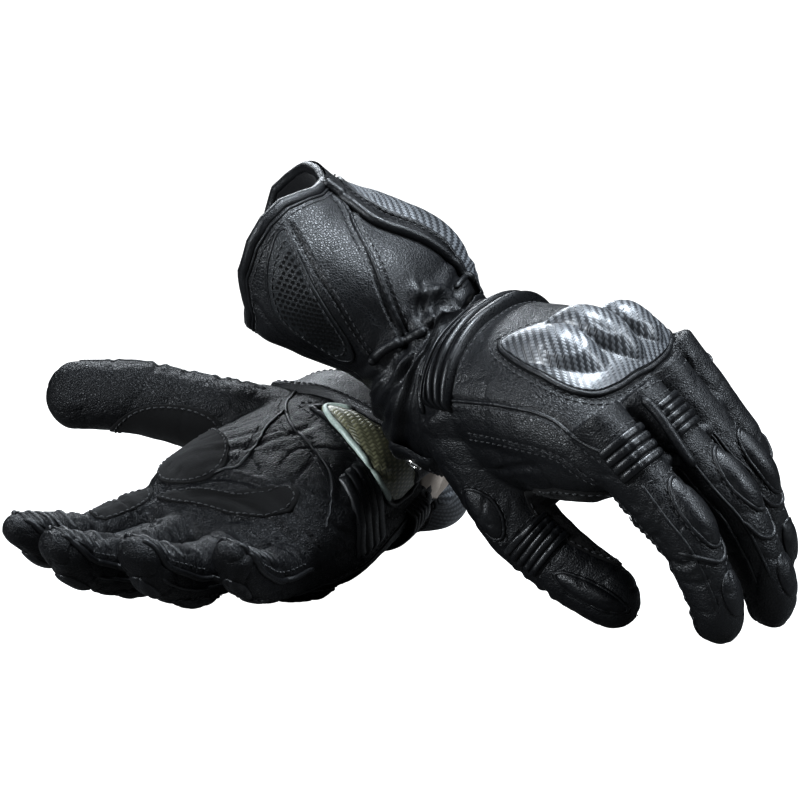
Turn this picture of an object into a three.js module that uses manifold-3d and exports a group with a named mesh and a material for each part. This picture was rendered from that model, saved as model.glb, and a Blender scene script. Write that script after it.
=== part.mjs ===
// A pair of long-cuff leather riding gloves, in millimetres, +Z up.
// The right glove lies on its back, palm up, with its fingers towards -Y. The left glove stands palm
// down on its fingertips, fingers towards +X, and its wrist and cuff lie across the right glove's cuff.
// Every piece of one glove is made in the glove frame: x from the wrist to the fingertips, y towards
// the little finger, z out of the back of the hand. The right glove is the left one mirrored in y.
import * as THREE from "three";
import { mergeVertices } from "three/addons/utils/BufferGeometryUtils.js";
import Module from "manifold-3d";

const wasm = await Module();
wasm.setup();

// ---- driving dimensions ----
const WALL = 3.2; // padded leather of the hand and fingers
const CUFF_WALL = 1.5; // bare leather of the cuff
const LINING = 0.8;
const GAP = 0.45; // between pieces that touch
const SUNK = 1.6; // how far a sewn-on piece is made below the face before it is trimmed to it
const CUFF_LENGTH = 121; // wrist to cuff mouth
const BINDING = 5; // width of the rolled binding at the mouth
const HAND_END = 106; // wrist to the web of the fingers

// Hand and cuff: place along the centreline, half width, half height.
const TRUNK = [
  [-CUFF_LENGTH - BINDING, 42, 38],
  [-80, 47, 40.5],
  [-42, 39, 33],
  [-12, 41, 35],
  [2, 41.5, 33],
  [26, 46, 33],
  [56, 51, 31.5],
  [80, 52.5, 27],
  [93, 52, 22],
  [HAND_END + 4, 50, 16],
];
const TRUNK_ROUNDNESS = 2.35;
const MOUTH_SKEW = 12; // how much further the little-finger side of the cuff mouth reaches

// Fingers: knuckle place, sideways fan in degrees, bone lengths, half width and half height at the root.
const FINGERS = {
  index: { knuckle: [90, -38.6], fan: -5, bones: [48, 27, 23], width: 12.3, height: 14 },
  middle: { knuckle: [94, -12.8], fan: -1, bones: [52, 30, 24], width: 12.3, height: 14.4 },
  ring: { knuckle: [90, 12.9], fan: 3.5, bones: [48, 28, 23], width: 12.2, height: 13.8 },
  little: { knuckle: [82, 37.6], fan: 9, bones: [38, 22, 21], width: 11.2, height: 12.6 },
};
const KNUCKLE_Z = 4.5;
const FINGER_ROUNDNESS = 2.3;
const TRUNK_SIDES = 20; // facets round each limb
const THUMB_SIDES = 10;
const FINGER_SIDES = 10;
const TIP_SHARE = 0.84; // width at the fingertip as a share of the root's
const FLEX_CLEAR = 62; // degrees that a finger may flex before it would meet the palm
const THUMB = { root: [10, -26, -8], bones: [44, 32, 36], width: [21, 17.5, 15.2], height: [20, 15.5, 13.2] };
const THUMB_JOINT = 64; // along the thumb: the middle of its stretch ribs

// How each glove holds its fingers (bend at each joint, degrees) and its thumb, and where its wrist is.
const GLOVES = {
  left: {
    mirror: 1,
    wristBend: -43,
    wristSwing: -8,
    curl: { index: [47, 21, 16], middle: [46, 21, 16], ring: [51, 22, 16], little: [55, 22, 16] },
    thumb: { yaw: -16, pitch: 57, bends: [-24, -8] },
    wrist: [27, -2, 0],
    turn: { yaw: -36, pitch: 4.2, roll: 19 },
  },
  right: {
    mirror: -1,
    wristBend: -41.7,
    wristSwing: -42,
    curl: { index: [8, 21, 16], middle: [12, 21, 16], ring: [16, 22, 16], little: [20, 22, 16] },
    thumb: { yaw: -62, pitch: 6, bends: [4, -14] },
    wrist: [-36, 66, 0],
    turn: { yaw: -129, pitch: 18, roll: 164 },
  },
};

const radians = THREE.MathUtils.degToRad;
const vec = (x, y, z) => new THREE.Vector3(x, y, z);

// ---- solids and geometries ----
function toSolid(geometry) {
  const bare = new THREE.BufferGeometry();
  const source = geometry.index ? geometry.toNonIndexed() : geometry;
  bare.setAttribute("position", source.getAttribute("position"));
  const merged = mergeVertices(bare, 1e-4);
  return new wasm.Manifold(
    new wasm.Mesh({
      numProp: 3,
      vertProperties: new Float32Array(merged.getAttribute("position").array),
      triVerts: new Uint32Array(merged.index.array),
    }),
  );
}

function toGeometry(solid) {
  const mesh = solid.getMesh();
  const geometry = new THREE.BufferGeometry();
  const points = new Float32Array(mesh.numVert * 3);
  for (let i = 0; i < mesh.numVert; i++)
    for (let k = 0; k < 3; k++) points[i * 3 + k] = mesh.vertProperties[i * mesh.numProp + k];
  geometry.setAttribute("position", new THREE.BufferAttribute(points, 3));
  geometry.setIndex(new THREE.BufferAttribute(new Uint32Array(mesh.triVerts), 1));
  return geometry;
}

// A geometry from points and triangles, with its faces turned to point out.
function closedGeometry(points, index) {
  let volume = 0;
  for (let i = 0; i < index.length; i += 3)
    volume += points[index[i]].dot(points[index[i + 1]].clone().cross(points[index[i + 2]]));
  if (volume < 0)
    for (let i = 0; i < index.length; i += 3) [index[i + 1], index[i + 2]] = [index[i + 2], index[i + 1]];
  const geometry = new THREE.BufferGeometry().setFromPoints(points);
  geometry.setIndex(index);
  return geometry;
}

// A closed skin over rings of points, each end closed by a fan.
function loft(rings) {
  const n = rings[0].length;
  const points = rings.flat();
  const index = [];
  for (let k = 0; k + 1 < rings.length; k++)
    for (let i = 0; i < n; i++) {
      const a = k * n + i;
      const b = k * n + ((i + 1) % n);
      index.push(a, b, b + n, a, b + n, a + n);
    }
  for (const [start, flip] of [[0, true], [(rings.length - 1) * n, false]]) {
    const middle = points.length;
    const centre = vec(0, 0, 0);
    for (let i = 0; i < n; i++) centre.add(points[start + i]);
    points.push(centre.divideScalar(n));
    for (let i = 0; i < n; i++) {
      const a = start + i;
      const b = start + ((i + 1) % n);
      index.push(...(flip ? [b, a, middle] : [a, b, middle]));
    }
  }
  return closedGeometry(points, index);
}

// ---- limbs: a centreline with an oval section at each place ----
const signedPower = (x, p) => Math.sign(x) * Math.abs(x) ** p;

class Limb {
  // frameAt(s) gives {origin, along, side, up}; sizeAt(s) gives {w, h}; round is the section's exponent.
  constructor(frameAt, sizeAt, round) {
    this.frameAt = frameAt;
    this.sizeAt = sizeAt;
    this.round = round;
    this.skewAt = () => 0; // how far back the little-finger side of the section at s is pushed
  }

  // A point at place s and angle a: 0 at the back, 90 at the little-finger side, 180 at the palm side.
  point(place, degrees, offset = 0) {
    const a = radians(degrees);
    const s = place - this.skewAt(place) * Math.sin(a);
    const { origin, side, up } = this.frameAt(s);
    const { w, h } = this.sizeAt(s);
    const across = signedPower(Math.sin(a), 2 / this.round) * Math.max(w + offset, 0.4);
    const rise = signedPower(Math.cos(a), 2 / this.round) * Math.max(h + offset, 0.4);
    return origin.clone().addScaledVector(side, across).addScaledVector(up, rise);
  }

  // A point on the back (face 1) or palm (face -1) at place s and sideways distance y.
  flat(s, y, face, offset = 0) {
    const { origin, side, up } = this.frameAt(s);
    const { w, h } = this.sizeAt(s);
    const share = Math.min(Math.abs(y) / w, 0.995);
    const rise = face * (h * (1 - share ** this.round) ** (1 / this.round) + offset);
    return origin.clone().addScaledVector(side, y).addScaledVector(up, rise);
  }

  ring(s, count, offset = 0) {
    return Array.from({ length: count }, (_, i) => this.point(s, (360 * i) / count, offset));
  }

  solid(places, count, offset = 0) {
    return toSolid(loft(places.map((s) => this.ring(s, count, offset))));
  }
}

// Numbers between the rows of a table, by a smooth curve.
function smoothTable(table) {
  const curves = [1, 2].map((column) => {
    const points = table.map((row) => new THREE.Vector2(row[0], row[column]));
    return new THREE.SplineCurve(points);
  });
  return (s) => {
    let k = 0;
    while (k < table.length - 2 && s > table[k + 1][0]) k++;
    const share = THREE.MathUtils.clamp((s - table[k][0]) / (table[k + 1][0] - table[k][0]), 0, 1);
    const t = (k + share) / (table.length - 1);
    return { w: curves[0].getPoint(t).y, h: curves[1].getPoint(t).y };
  };
}

const smoothStep = (x, low, high) => THREE.MathUtils.smoothstep(x, low, high);

// A centreline that starts along `along`, bends down by bend(s) degrees and sideways by swing(s).
function bentLine(origin, along, up, length, back, bend, swing = () => 0) {
  const level = up.clone().cross(along);
  const STEP = 1;
  const forward = [origin.clone()];
  const behind = [origin.clone()];
  const heading = (s) => {
    const a = radians(bend(s));
    const c = radians(swing(s));
    const flat = along.clone().multiplyScalar(Math.cos(c)).addScaledVector(level, Math.sin(c));
    return flat.multiplyScalar(Math.cos(a)).addScaledVector(up, -Math.sin(a));
  };
  for (let s = 0; s < length; s += STEP)
    forward.push(forward.at(-1).clone().addScaledVector(heading(s + STEP / 2), STEP));
  for (let s = 0; s < back; s += STEP)
    behind.push(behind.at(-1).clone().addScaledVector(heading(-s - STEP / 2), -STEP));
  return (s) => {
    const list = s < 0 ? behind : forward;
    const place = Math.min(Math.abs(s) / STEP, list.length - 1.001);
    const k = Math.floor(place);
    const direction = heading(s);
    const c = radians(swing(s));
    const side = level.clone().multiplyScalar(Math.cos(c)).addScaledVector(along, -Math.sin(c));
    return {
      origin: list[k].clone().lerp(list[k + 1], place - k),
      along: direction,
      side,
      up: direction.clone().cross(side),
    };
  };
}

function trunkLimb(pose) {
  const before = (s) => smoothStep(s, -46, 4) - 1;
  const bend = (s) => pose.wristBend * before(s);
  const swing = (s) => pose.wristSwing * before(s);
  const ends = [HAND_END + 8, CUFF_LENGTH + 26];
  const frame = bentLine(vec(0, 0, 0), vec(1, 0, 0), vec(0, 0, 1), ...ends, bend, swing);
  const limb = new Limb(frame, smoothTable(TRUNK), TRUNK_ROUNDNESS);
  limb.skewAt = (s) => MOUTH_SKEW * (1 - smoothStep(s, -CUFF_LENGTH, -50));
  return limb;
}

const fingerLength = (finger) => finger.bones[0] + finger.bones[1] + finger.bones[2];

function roundTip(s, length, tip) {
  const into = Math.max(0, (s - (length - tip)) / tip);
  return Math.sqrt(Math.max(1 - into * into, 0.02));
}

function fingerLimb(finger, curl) {
  const [first, second] = finger.bones;
  const length = fingerLength(finger);
  const fan = radians(finger.fan);
  const along = vec(Math.cos(fan), Math.sin(fan), 0);
  const HALF_BEND = 9;
  const bend = (s) =>
    curl[0] +
    curl[1] * smoothStep(s, first - HALF_BEND, first + HALF_BEND) +
    curl[2] * smoothStep(s, first + second - HALF_BEND, first + second + HALF_BEND);
  const root = vec(finger.knuckle[0], finger.knuckle[1], KNUCKLE_Z);
  const frame = bentLine(root, along, vec(0, 0, 1), length, 40, (s) => (s < 0 ? curl[0] : bend(s)));
  const size = (s) => {
    const taper = THREE.MathUtils.lerp(1, TIP_SHARE, THREE.MathUtils.clamp(s / length, 0, 1));
    const close = roundTip(s, length, finger.height * 0.95);
    return { w: finger.width * taper * close, h: finger.height * taper * close };
  };
  return new Limb(frame, size, FINGER_ROUNDNESS);
}

const thumbLength = THUMB.bones[0] + THUMB.bones[1] + THUMB.bones[2];

function thumbLimb(pose) {
  const yaw = radians(pose.thumb.yaw);
  const pitch = radians(pose.thumb.pitch);
  const along = vec(Math.cos(yaw) * Math.cos(pitch), Math.sin(yaw) * Math.cos(pitch), -Math.sin(pitch));
  const THUMB_ROLL = radians(-35);
  const level = vec(0, 0, 1).addScaledVector(along, -along.z).normalize();
  const up = level.applyAxisAngle(along, THUMB_ROLL);
  const joints = [THUMB.bones[0], THUMB.bones[0] + THUMB.bones[1]];
  const bend = (s) =>
    pose.thumb.bends.reduce((sum, b, k) => sum + b * smoothStep(s, joints[k] - 12, joints[k] + 12), 0);
  const frame = bentLine(vec(...THUMB.root), along, up, thumbLength, 24, bend);
  const size = (s) => {
    const k = THREE.MathUtils.clamp(s / thumbLength, 0, 1) * 2;
    const i = Math.min(Math.floor(k), 1);
    const close = roundTip(s, thumbLength, 15);
    return {
      w: THREE.MathUtils.lerp(THUMB.width[i], THUMB.width[i + 1], k - i) * close,
      h: THREE.MathUtils.lerp(THUMB.height[i], THUMB.height[i + 1], k - i) * close,
    };
  };
  return new Limb(frame, size, FINGER_ROUNDNESS);
}

// ---- pieces that are sewn onto a face ----
// place(u, v, offset) gives the point over (u, v) on the face. The slab starts SUNK below the face, and
// sewn() trims it back so that it stands GAP above what lies under it.
function slabFan(place, outline, rings, height) {
  const n = outline.length;
  const middle = outline.reduce((m, p) => [m[0] + p[0] / n, m[1] + p[1] / n], [0, 0]);
  const layers = [1, 0].map((top) => {
    const points = [];
    for (let k = rings; k > 0; k--)
      for (const p of outline) {
        const f = k / rings;
        const u = middle[0] + (p[0] - middle[0]) * f;
        const v = middle[1] + (p[1] - middle[1]) * f;
        points.push(place(u, v, top ? height(f, u, v) : -SUNK));
      }
    points.push(place(middle[0], middle[1], top ? height(0, middle[0], middle[1]) : -SUNK));
    return points;
  });
  const points = layers.flat();
  const below = layers[0].length;
  const index = [];
  const quad = (a, b, c, d) => index.push(a, b, c, a, c, d);
  for (const [base, flip] of [[0, false], [below, true]])
    for (let k = 0; k < rings; k++)
      for (let i = 0; i < n; i++) {
        const a = base + k * n + i;
        const b = base + k * n + ((i + 1) % n);
        const last = k === rings - 1;
        if (last) index.push(...(flip ? [b, a, base + rings * n] : [a, b, base + rings * n]));
        else if (flip) quad(b, a, a + n, b + n);
        else quad(a, b, b + n, a + n);
      }
  for (let i = 0; i < n; i++) {
    const j = (i + 1) % n;
    quad(j, i, below + i, below + j);
  }
  return closedGeometry(points, index);
}

function slabGrid(place, [u0, u1, nu], [v0, v1, nv], height) {
  const outlinePlace = (i, j, top) => {
    const u = u0 + ((u1 - u0) * i) / nu;
    const v = v0 + ((v1 - v0) * j) / nv;
    return place(u, v, top ? height(i / nu, j / nv) : -SUNK);
  };
  const points = [];
  for (const top of [true, false])
    for (let i = 0; i <= nu; i++) for (let j = 0; j <= nv; j++) points.push(outlinePlace(i, j, top));
  const at = (i, j, low) => (low ? (nu + 1) * (nv + 1) : 0) + i * (nv + 1) + j;
  const index = [];
  const quad = (a, b, c, d) => index.push(a, b, c, a, c, d);
  for (let i = 0; i < nu; i++)
    for (let j = 0; j < nv; j++) {
      quad(at(i, j), at(i + 1, j), at(i + 1, j + 1), at(i, j + 1));
      quad(at(i, j + 1, true), at(i + 1, j + 1, true), at(i + 1, j, true), at(i, j, true));
    }
  for (let i = 0; i < nu; i++) {
    quad(at(i, 0, true), at(i + 1, 0, true), at(i + 1, 0), at(i, 0));
    quad(at(i, nv), at(i + 1, nv), at(i + 1, nv, true), at(i, nv, true));
  }
  for (let j = 0; j < nv; j++) {
    quad(at(0, j), at(0, j + 1), at(0, j + 1, true), at(0, j, true));
    quad(at(nu, j, true), at(nu, j + 1, true), at(nu, j + 1), at(nu, j));
  }
  return closedGeometry(points, index);
}

function sewn(slab, ...under) {
  return toGeometry(largest(under.reduce((solid, cut) => solid.subtract(cut), toSolid(slab))));
}

const smoothOutline = (corners, count) =>
  new THREE.CatmullRomCurve3(corners.map(([u, v]) => vec(u, v, 0)), true, "catmullrom", 0.6)
    .getSpacedPoints(count)
    .slice(0, count)
    .map((p) => [p.x, p.y]);

const oval = (u, v, halfU, halfV, count) =>
  Array.from({ length: count }, (_, i) => {
    const a = (2 * Math.PI * i) / count;
    return [u + halfU * Math.cos(a), v + halfV * Math.sin(a)];
  });

const pillow = (edge, crown) => (f) => edge + crown * (1 - f ** 3);

// ---- materials ----
const leather = new THREE.MeshStandardMaterial({ color: 0x15161a, roughness: 0.5, metalness: 0 });
const suede = new THREE.MeshStandardMaterial({ color: 0x111114, roughness: 0.95, metalness: 0 });
const carbon = new THREE.MeshStandardMaterial({ color: 0x5c5f63, roughness: 0.2, metalness: 0.3 });
const slider = new THREE.MeshStandardMaterial({ color: 0x68664f, roughness: 0.55, metalness: 0 });
const piping = new THREE.MeshStandardMaterial({ color: 0xa9b0ab, roughness: 0.6, metalness: 0 });
const steel = new THREE.MeshStandardMaterial({ color: 0xc9c9c6, roughness: 0.25, metalness: 1 });
const cloth = new THREE.MeshStandardMaterial({ color: 0x0d0d0f, roughness: 0.9, metalness: 0 });

// ---- one glove ----
function places(from, to, count) {
  return Array.from({ length: count + 1 }, (_, i) => from + ((to - from) * i) / count);
}

// What a finger needs clear of the hand: a drum round its knuckle, and the room it swings through.
function fingerRoom(finger, limb) {
  const { origin, side } = limb.frameAt(0);
  const fan = radians(finger.fan);
  const ahead = vec(Math.cos(fan), Math.sin(fan), 0);
  const drum = finger.height + 1.2;
  const FAR = 46;
  const shape = new THREE.Shape();
  const low = radians(270 - FLEX_CLEAR);
  shape.moveTo(FAR, FAR);
  shape.lineTo(drum * Math.cos(radians(104)) - 2, FAR);
  shape.lineTo(drum * Math.cos(radians(104)), drum * Math.sin(radians(104)));
  shape.absarc(0, 0, drum, radians(104), low, false);
  shape.lineTo(drum * Math.cos(low) + (FAR - drum) * 0.55, -FAR);
  shape.lineTo(FAR, -FAR);
  const width = 2 * (finger.width + 0.9);
  const geometry = new THREE.ExtrudeGeometry(shape, { depth: width, bevelEnabled: false, curveSegments: 9 });
  const axes = new THREE.Matrix4().makeBasis(ahead, vec(0, 0, 1), side.clone().negate());
  geometry.applyMatrix4(axes.setPosition(origin.clone().addScaledVector(side, width / 2)));
  return toSolid(geometry);
}

function drumAbout({ origin, side }, radius, width, sides = 14) {
  const drum = new THREE.CylinderGeometry(radius, radius, width, sides);
  drum.applyQuaternion(new THREE.Quaternion().setFromUnitVectors(vec(0, 1, 0), side));
  return toSolid(drum.translate(origin.x, origin.y, origin.z));
}

// The outside of a finger, grown by offset: a tube with a drum round its knuckle.
function fingerOutside(finger, limb, offset = 0) {
  const tube = [0, 0.18, 0.38, 0.5, 0.62, 0.74, 0.86, 0.94, 1].map((f) => f * fingerLength(finger));
  const drum = drumAbout(limb.frameAt(0), finger.height + offset, 2 * (finger.width - 1 + offset));
  return limb.solid(tube, FINGER_SIDES, offset).add(drum);
}

function fingerShell(finger, limb) {
  const inner = [0, 0.18, 0.38, 0.5, 0.62, 0.74, 0.88].map((f) => f * fingerLength(finger));
  return fingerOutside(finger, limb).subtract(limb.solid([-24, ...inner], FINGER_SIDES, -WALL));
}

// Ribs across the back of a limb, from place to place and sweep degrees to each side.
function ribs(limb, from, to, sweep, count, depth) {
  const ridge = (i) => 1 + depth * (0.5 - 0.5 * Math.cos(2 * Math.PI * count * i));
  const place = (s, a, offset) => limb.point(s, a, offset);
  return slabGrid(place, [from, to, count * 2], [-sweep, sweep, 5], ridge);
}

function makeGlove(pose) {
  const trunk = trunkLimb(pose);
  const thumb = thumbLimb(pose);
  const pieces = {}; // node name: [geometry, material]
  const joints = {}; // joint name: where it turns, in the glove frame
  const limbs = { trunk, thumb };
  const back = (s, y, offset) => trunk.flat(s, y, 1, offset);
  const palmFace = (s, y, offset) => trunk.flat(s, y, -1, offset);
  const around = (s, a, offset) => trunk.point(s, a, offset);
  const trunkPlaces = [0, 14, 30, 46, 62, 78, 93, HAND_END];
  const cuffPlaces = places(-CUFF_LENGTH, -GAP, 6);

  // Fingers, each with its pads, and the room that they need in the hand.
  let room = null;
  for (const [key, finger] of Object.entries(FINGERS)) {
    const limb = fingerLimb(finger, pose.curl[key]);
    limbs[key] = limb;
    const place = (s, a, offset) => limb.point(s, a, offset);
    const under = fingerOutside(finger, limb, GAP);
    pieces[`${key}_finger`] = [toGeometry(fingerShell(finger, limb)), leather];
    const clear = fingerRoom(finger, limb);
    room = room ? room.add(clear) : clear;
    const { origin, side } = limb.frameAt(0);
    joints[`${key}_knuckle`] = { pos: origin, axis: side.clone() };
    const pad = oval(finger.bones[0] + 3, 0, 13, 40, 12);
    if (key !== "little")
      pieces[`${key}_knuckle_pad`] = [sewn(slabFan(place, pad, 2, pillow(1, 3)), under), leather];
    if (key === "index" || key === "middle")
      pieces[`${key}_stretch_ribs`] = [sewn(ribs(limb, 9, 28, 60, 4, 1.8), under), leather];
  }

  // The thumb: a sleeve fixed to the hand, and a tip that bends at the stretch ribs.
  const joint = thumb.frameAt(THUMB_JOINT);
  const { w: drumHalf, h: drumRadius } = thumb.sizeAt(THUMB_JOINT);
  joints.thumb_joint = { pos: joint.origin, axis: joint.side.clone() };
  const hollowThumb = thumb.solid([-22, 4, 24, 44, 54, THUMB_JOINT, 74, 88, 103], THUMB_SIDES, -WALL);
  const inTrunk = trunk.solid([-8, ...trunkPlaces], TRUNK_SIDES, GAP);
  const inCuff = (offset) => trunk.solid([-CUFF_LENGTH - 8, ...cuffPlaces, 3], TRUNK_SIDES, offset);
  const overCuff = inCuff(GAP).add(inTrunk);
  let sleeve = thumb.solid([-14, 4, 24, 44, 54, THUMB_JOINT - 3], THUMB_SIDES).subtract(hollowThumb);
  sleeve = sleeve.subtract(overCuff).subtract(drumAbout(joint, drumRadius + 0.9, 4 * drumHalf));
  const cap = thumb.solid([THUMB_JOINT, THUMB_JOINT + 26], THUMB_SIDES, 1);
  for (const a of [0, 12, 24, 36, 48]) sleeve = sleeve.subtract(turned(cap, joint.origin, joint.side, a));
  pieces.thumb_sleeve = [toGeometry(largest(sleeve)), leather];
  const tipPlaces = [THUMB_JOINT, 74, 88, 98, 105, 109.5, thumbLength];
  const tipOutside = (offset) =>
    thumb
      .solid(tipPlaces, THUMB_SIDES, offset)
      .add(drumAbout(joint, drumRadius + offset, 2 * (drumHalf - 1.5 + offset)));
  pieces.thumb_tip = [toGeometry(tipOutside(0).subtract(hollowThumb)), leather];
  const onThumb = (s, a, offset) => thumb.point(s, a, offset);
  const sleeveUnder = thumb.solid([-14, 4, 24, 44, 54, THUMB_JOINT - 3], THUMB_SIDES, GAP);
  const basePad = slabFan(onThumb, oval(38, 0, 11, 34, 12), 2, pillow(1, 2.2));
  pieces.thumb_base_pad = [sewn(basePad, sleeveUnder, inTrunk), leather];
  const tipPad = slabFan(onThumb, oval(92, 0, 13, 36, 12), 2, pillow(1, 2.6));
  pieces.thumb_tip_pad = [sewn(tipPad, tipOutside(GAP)), leather];
  const thumbRibs = ribs(thumb, THUMB_JOINT + 1, THUMB_JOINT + 14, 56, 3, 1.6);
  pieces.thumb_stretch_ribs = [sewn(thumbRibs, tipOutside(GAP)), leather];

  // The hand: back and palm, sewn together down both sides.
  const hand = trunk
    .solid(trunkPlaces, TRUNK_SIDES)
    .subtract(trunk.solid([-6, ...trunkPlaces.slice(0, -1), HAND_END + 2], TRUNK_SIDES, -WALL))
    .subtract(room)
    .subtract(hollowThumb);
  const SEAM_Z = -2;
  const half = (z) => toSolid(new THREE.BoxGeometry(400, 300, 200).translate(0, 0, z));
  pieces.back_of_hand = [toGeometry(largest(hand.subtract(half(SEAM_Z - 100 + GAP / 2)))), leather];
  pieces.palm = [toGeometry(largest(hand.subtract(half(SEAM_Z + 100 - GAP / 2)))), leather];

  // The cuff: outer shell, lining and rolled binding.
  const cuff = trunk.solid(cuffPlaces, TRUNK_SIDES).subtract(inCuff(-CUFF_WALL));
  pieces.cuff_shell = [toGeometry(cuff), leather];
  const lining = inCuff(-CUFF_WALL - 1.5 * GAP)
    .subtract(inCuff(-CUFF_WALL - 1.5 * GAP - LINING))
    .intersect(trunk.solid([-CUFF_LENGTH + 3, ...cuffPlaces.slice(1, -1), -6], TRUNK_SIDES, 4));
  pieces.cuff_lining = [toGeometry(largest(lining.subtract(cuff))), cloth];
  const binding = trunk
    .solid([-CUFF_LENGTH - BINDING, -CUFF_LENGTH - GAP], TRUNK_SIDES, 1)
    .subtract(trunk.solid([-CUFF_LENGTH - 11, -CUFF_LENGTH + 4], TRUNK_SIDES, -CUFF_WALL - 1));
  pieces.cuff_binding = [toGeometry(binding), leather];

  // The closing flap over the back of the cuff, and the scuff slider on it.
  const FLAP = { from: -CUFF_LENGTH + 2, to: -44, free: -14, sewn: 112, hinge: 118, thick: 2.3 };
  const HINGE_OFF = 2; // the seam that the flap turns on stands this far off the cuff
  const flapSlab = (thick) => {
    const alongFlap = [FLAP.from, FLAP.to, 5];
    return slabGrid(around, alongFlap, [FLAP.free, FLAP.sewn, 12], () => thick);
  };
  pieces.cuff_flap = [sewn(flapSlab(FLAP.thick), overCuff), leather];
  const hingeStart = around(FLAP.from, FLAP.hinge, HINGE_OFF);
  const hingeEnd = around(FLAP.to, FLAP.hinge, HINGE_OFF);
  joints.cuff_flap_hinge = { pos: hingeStart, axis: hingeStart.clone().sub(hingeEnd).normalize() };
  const onFlap = (s, a, offset) => around(s, a, offset + FLAP.thick);
  const scuff = smoothOutline([[-106, 38], [-100, 66], [-70, 68], [-52, 52], [-66, 30], [-98, 20]], 16);
  const flapUnder = toSolid(flapSlab(FLAP.thick + GAP));
  pieces.cuff_slider = [sewn(slabFan(onFlap, scuff, 2, pillow(1.2, 2)), flapUnder), carbon];
  const vent = smoothOutline([[-104, -64], [-100, -92], [-74, -122], [-48, -136], [-60, -112], [-84, -74]], 16);
  pieces.cuff_vent_panel = [sewn(slabFan(around, vent, 2, pillow(1, 0.6)), overCuff), leather];

  // The wrist strap over the palm side, anchored at the little-finger side, and its rivet.
  const STRAP = { from: -24, to: -4, anchor: 96, free: 244, thick: 3 };
  const strapSlab = slabGrid(around, [STRAP.from, STRAP.to, 2], [STRAP.anchor, STRAP.free, 12], () => STRAP.thick);
  pieces.wrist_strap = [sewn(strapSlab, overCuff, sleeveUnder), leather];
  const anchorStart = around(STRAP.from, STRAP.anchor, GAP);
  const anchorEnd = around(STRAP.to, STRAP.anchor, GAP);
  joints.wrist_strap_hinge = { pos: anchorStart, axis: anchorEnd.clone().sub(anchorStart).normalize() };
  pieces.strap_rivet = [rivet(trunk, -14, STRAP.free - 9, STRAP.thick + GAP + 0.2), steel];

  // Pieces on the back of the hand.
  const wristRibs = (i) => 1.2 + 2 * (0.5 - 0.5 * Math.cos(2 * Math.PI * 5 * i));
  const wristSlab = slabGrid(around, [3, 26, 10], [-74, 74, 12], wristRibs);
  pieces.wrist_stretch_ribs = [sewn(wristSlab, inTrunk, sleeveUnder), leather];
  pieces.knuckle_guard = [sewn(knuckleGuard(back), inTrunk, room), carbon];

  // Pieces on the palm.
  const heel = smoothOutline([[4, 34], [4, 4], [8, -8], [20, -4], [32, 10], [38, 30], [24, 38]], 16);
  pieces.palm_slider = [sewn(slabFan(palmFace, heel, 2, pillow(2, 1.4)), inTrunk), slider];
  pieces.palm_slider_rim = [sewn(sliderRim(palmFace, heel), inTrunk), piping];
  const grip = smoothOutline([[44, -6], [46, 8], [62, 6], [80, -16], [84, -34], [74, -34], [60, -12]], 16);
  pieces.palm_grip_patch = [sewn(slabFan(palmFace, grip, 1, () => 1.8), inTrunk, hollowThumb, room), suede];
  const web = smoothOutline([[27, 94], [30, 140], [37, 160], [44, 130], [44, 96], [36, 84]], 14);
  pieces.thumb_web_patch = [sewn(slabFan(onThumb, web, 1, () => 1.6), sleeveUnder, inTrunk), suede];
  return { pieces, joints, limbs };
}

// The biggest of a solid's separate bodies, once a cut has left slivers.
function largest(solid) {
  return solid.decompose().reduce((best, s) => (s.volume() > best.volume() ? s : best));
}

// A solid turned about an axis through a point.
function turned(solid, point, axis, degrees) {
  const move = new THREE.Matrix4().makeTranslation(point);
  move.multiply(new THREE.Matrix4().makeRotationAxis(axis, radians(degrees)));
  move.multiply(new THREE.Matrix4().makeTranslation(point.clone().negate()));
  return toSolid(toGeometry(solid).applyMatrix4(move));
}

// A round rivet that stands on the limb's face.
function rivet(limb, s, degrees, offset) {
  const centre = limb.point(s, degrees, offset);
  const out = limb.point(s, degrees, offset + 1).sub(centre).normalize();
  const profile = [[1.5, 0], [4, 0], [4, 0.9], [3.2, 1.6], [2.2, 1.6], [1.5, 0.8]];
  const points = profile.map(([r, z]) => new THREE.Vector2(r, z));
  const ring = new THREE.LatheGeometry([...points, points[0]], 12);
  ring.applyQuaternion(new THREE.Quaternion().setFromUnitVectors(vec(0, 1, 0), out));
  return ring.translate(centre.x, centre.y, centre.z);
}

// The hard guard: a pointed leaf over the knuckles, with a dome over each.
function knuckleGuard(back) {
  const DOMES = [[79, -33], [83, -11], [80, 12], [74, 32]];
  const outline = smoothOutline(
    [[56, -43], [72, -45], [84, -34], [87, -12], [84, 14], [78, 36], [68, 42], [62, 22], [56, -6], [50, -30]],
    26,
  );
  const height = (f, s, y) => {
    const domes = DOMES.map(([ds, dy]) => Math.exp(-(((s - ds + 3) / 13) ** 2) - ((y - dy) / 9) ** 2));
    return 1.6 + 9.5 * Math.max(...domes) * (1 - f ** 6) + 1.5 * (1 - f ** 4);
  };
  return slabFan(back, outline, 6, height);
}

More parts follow.
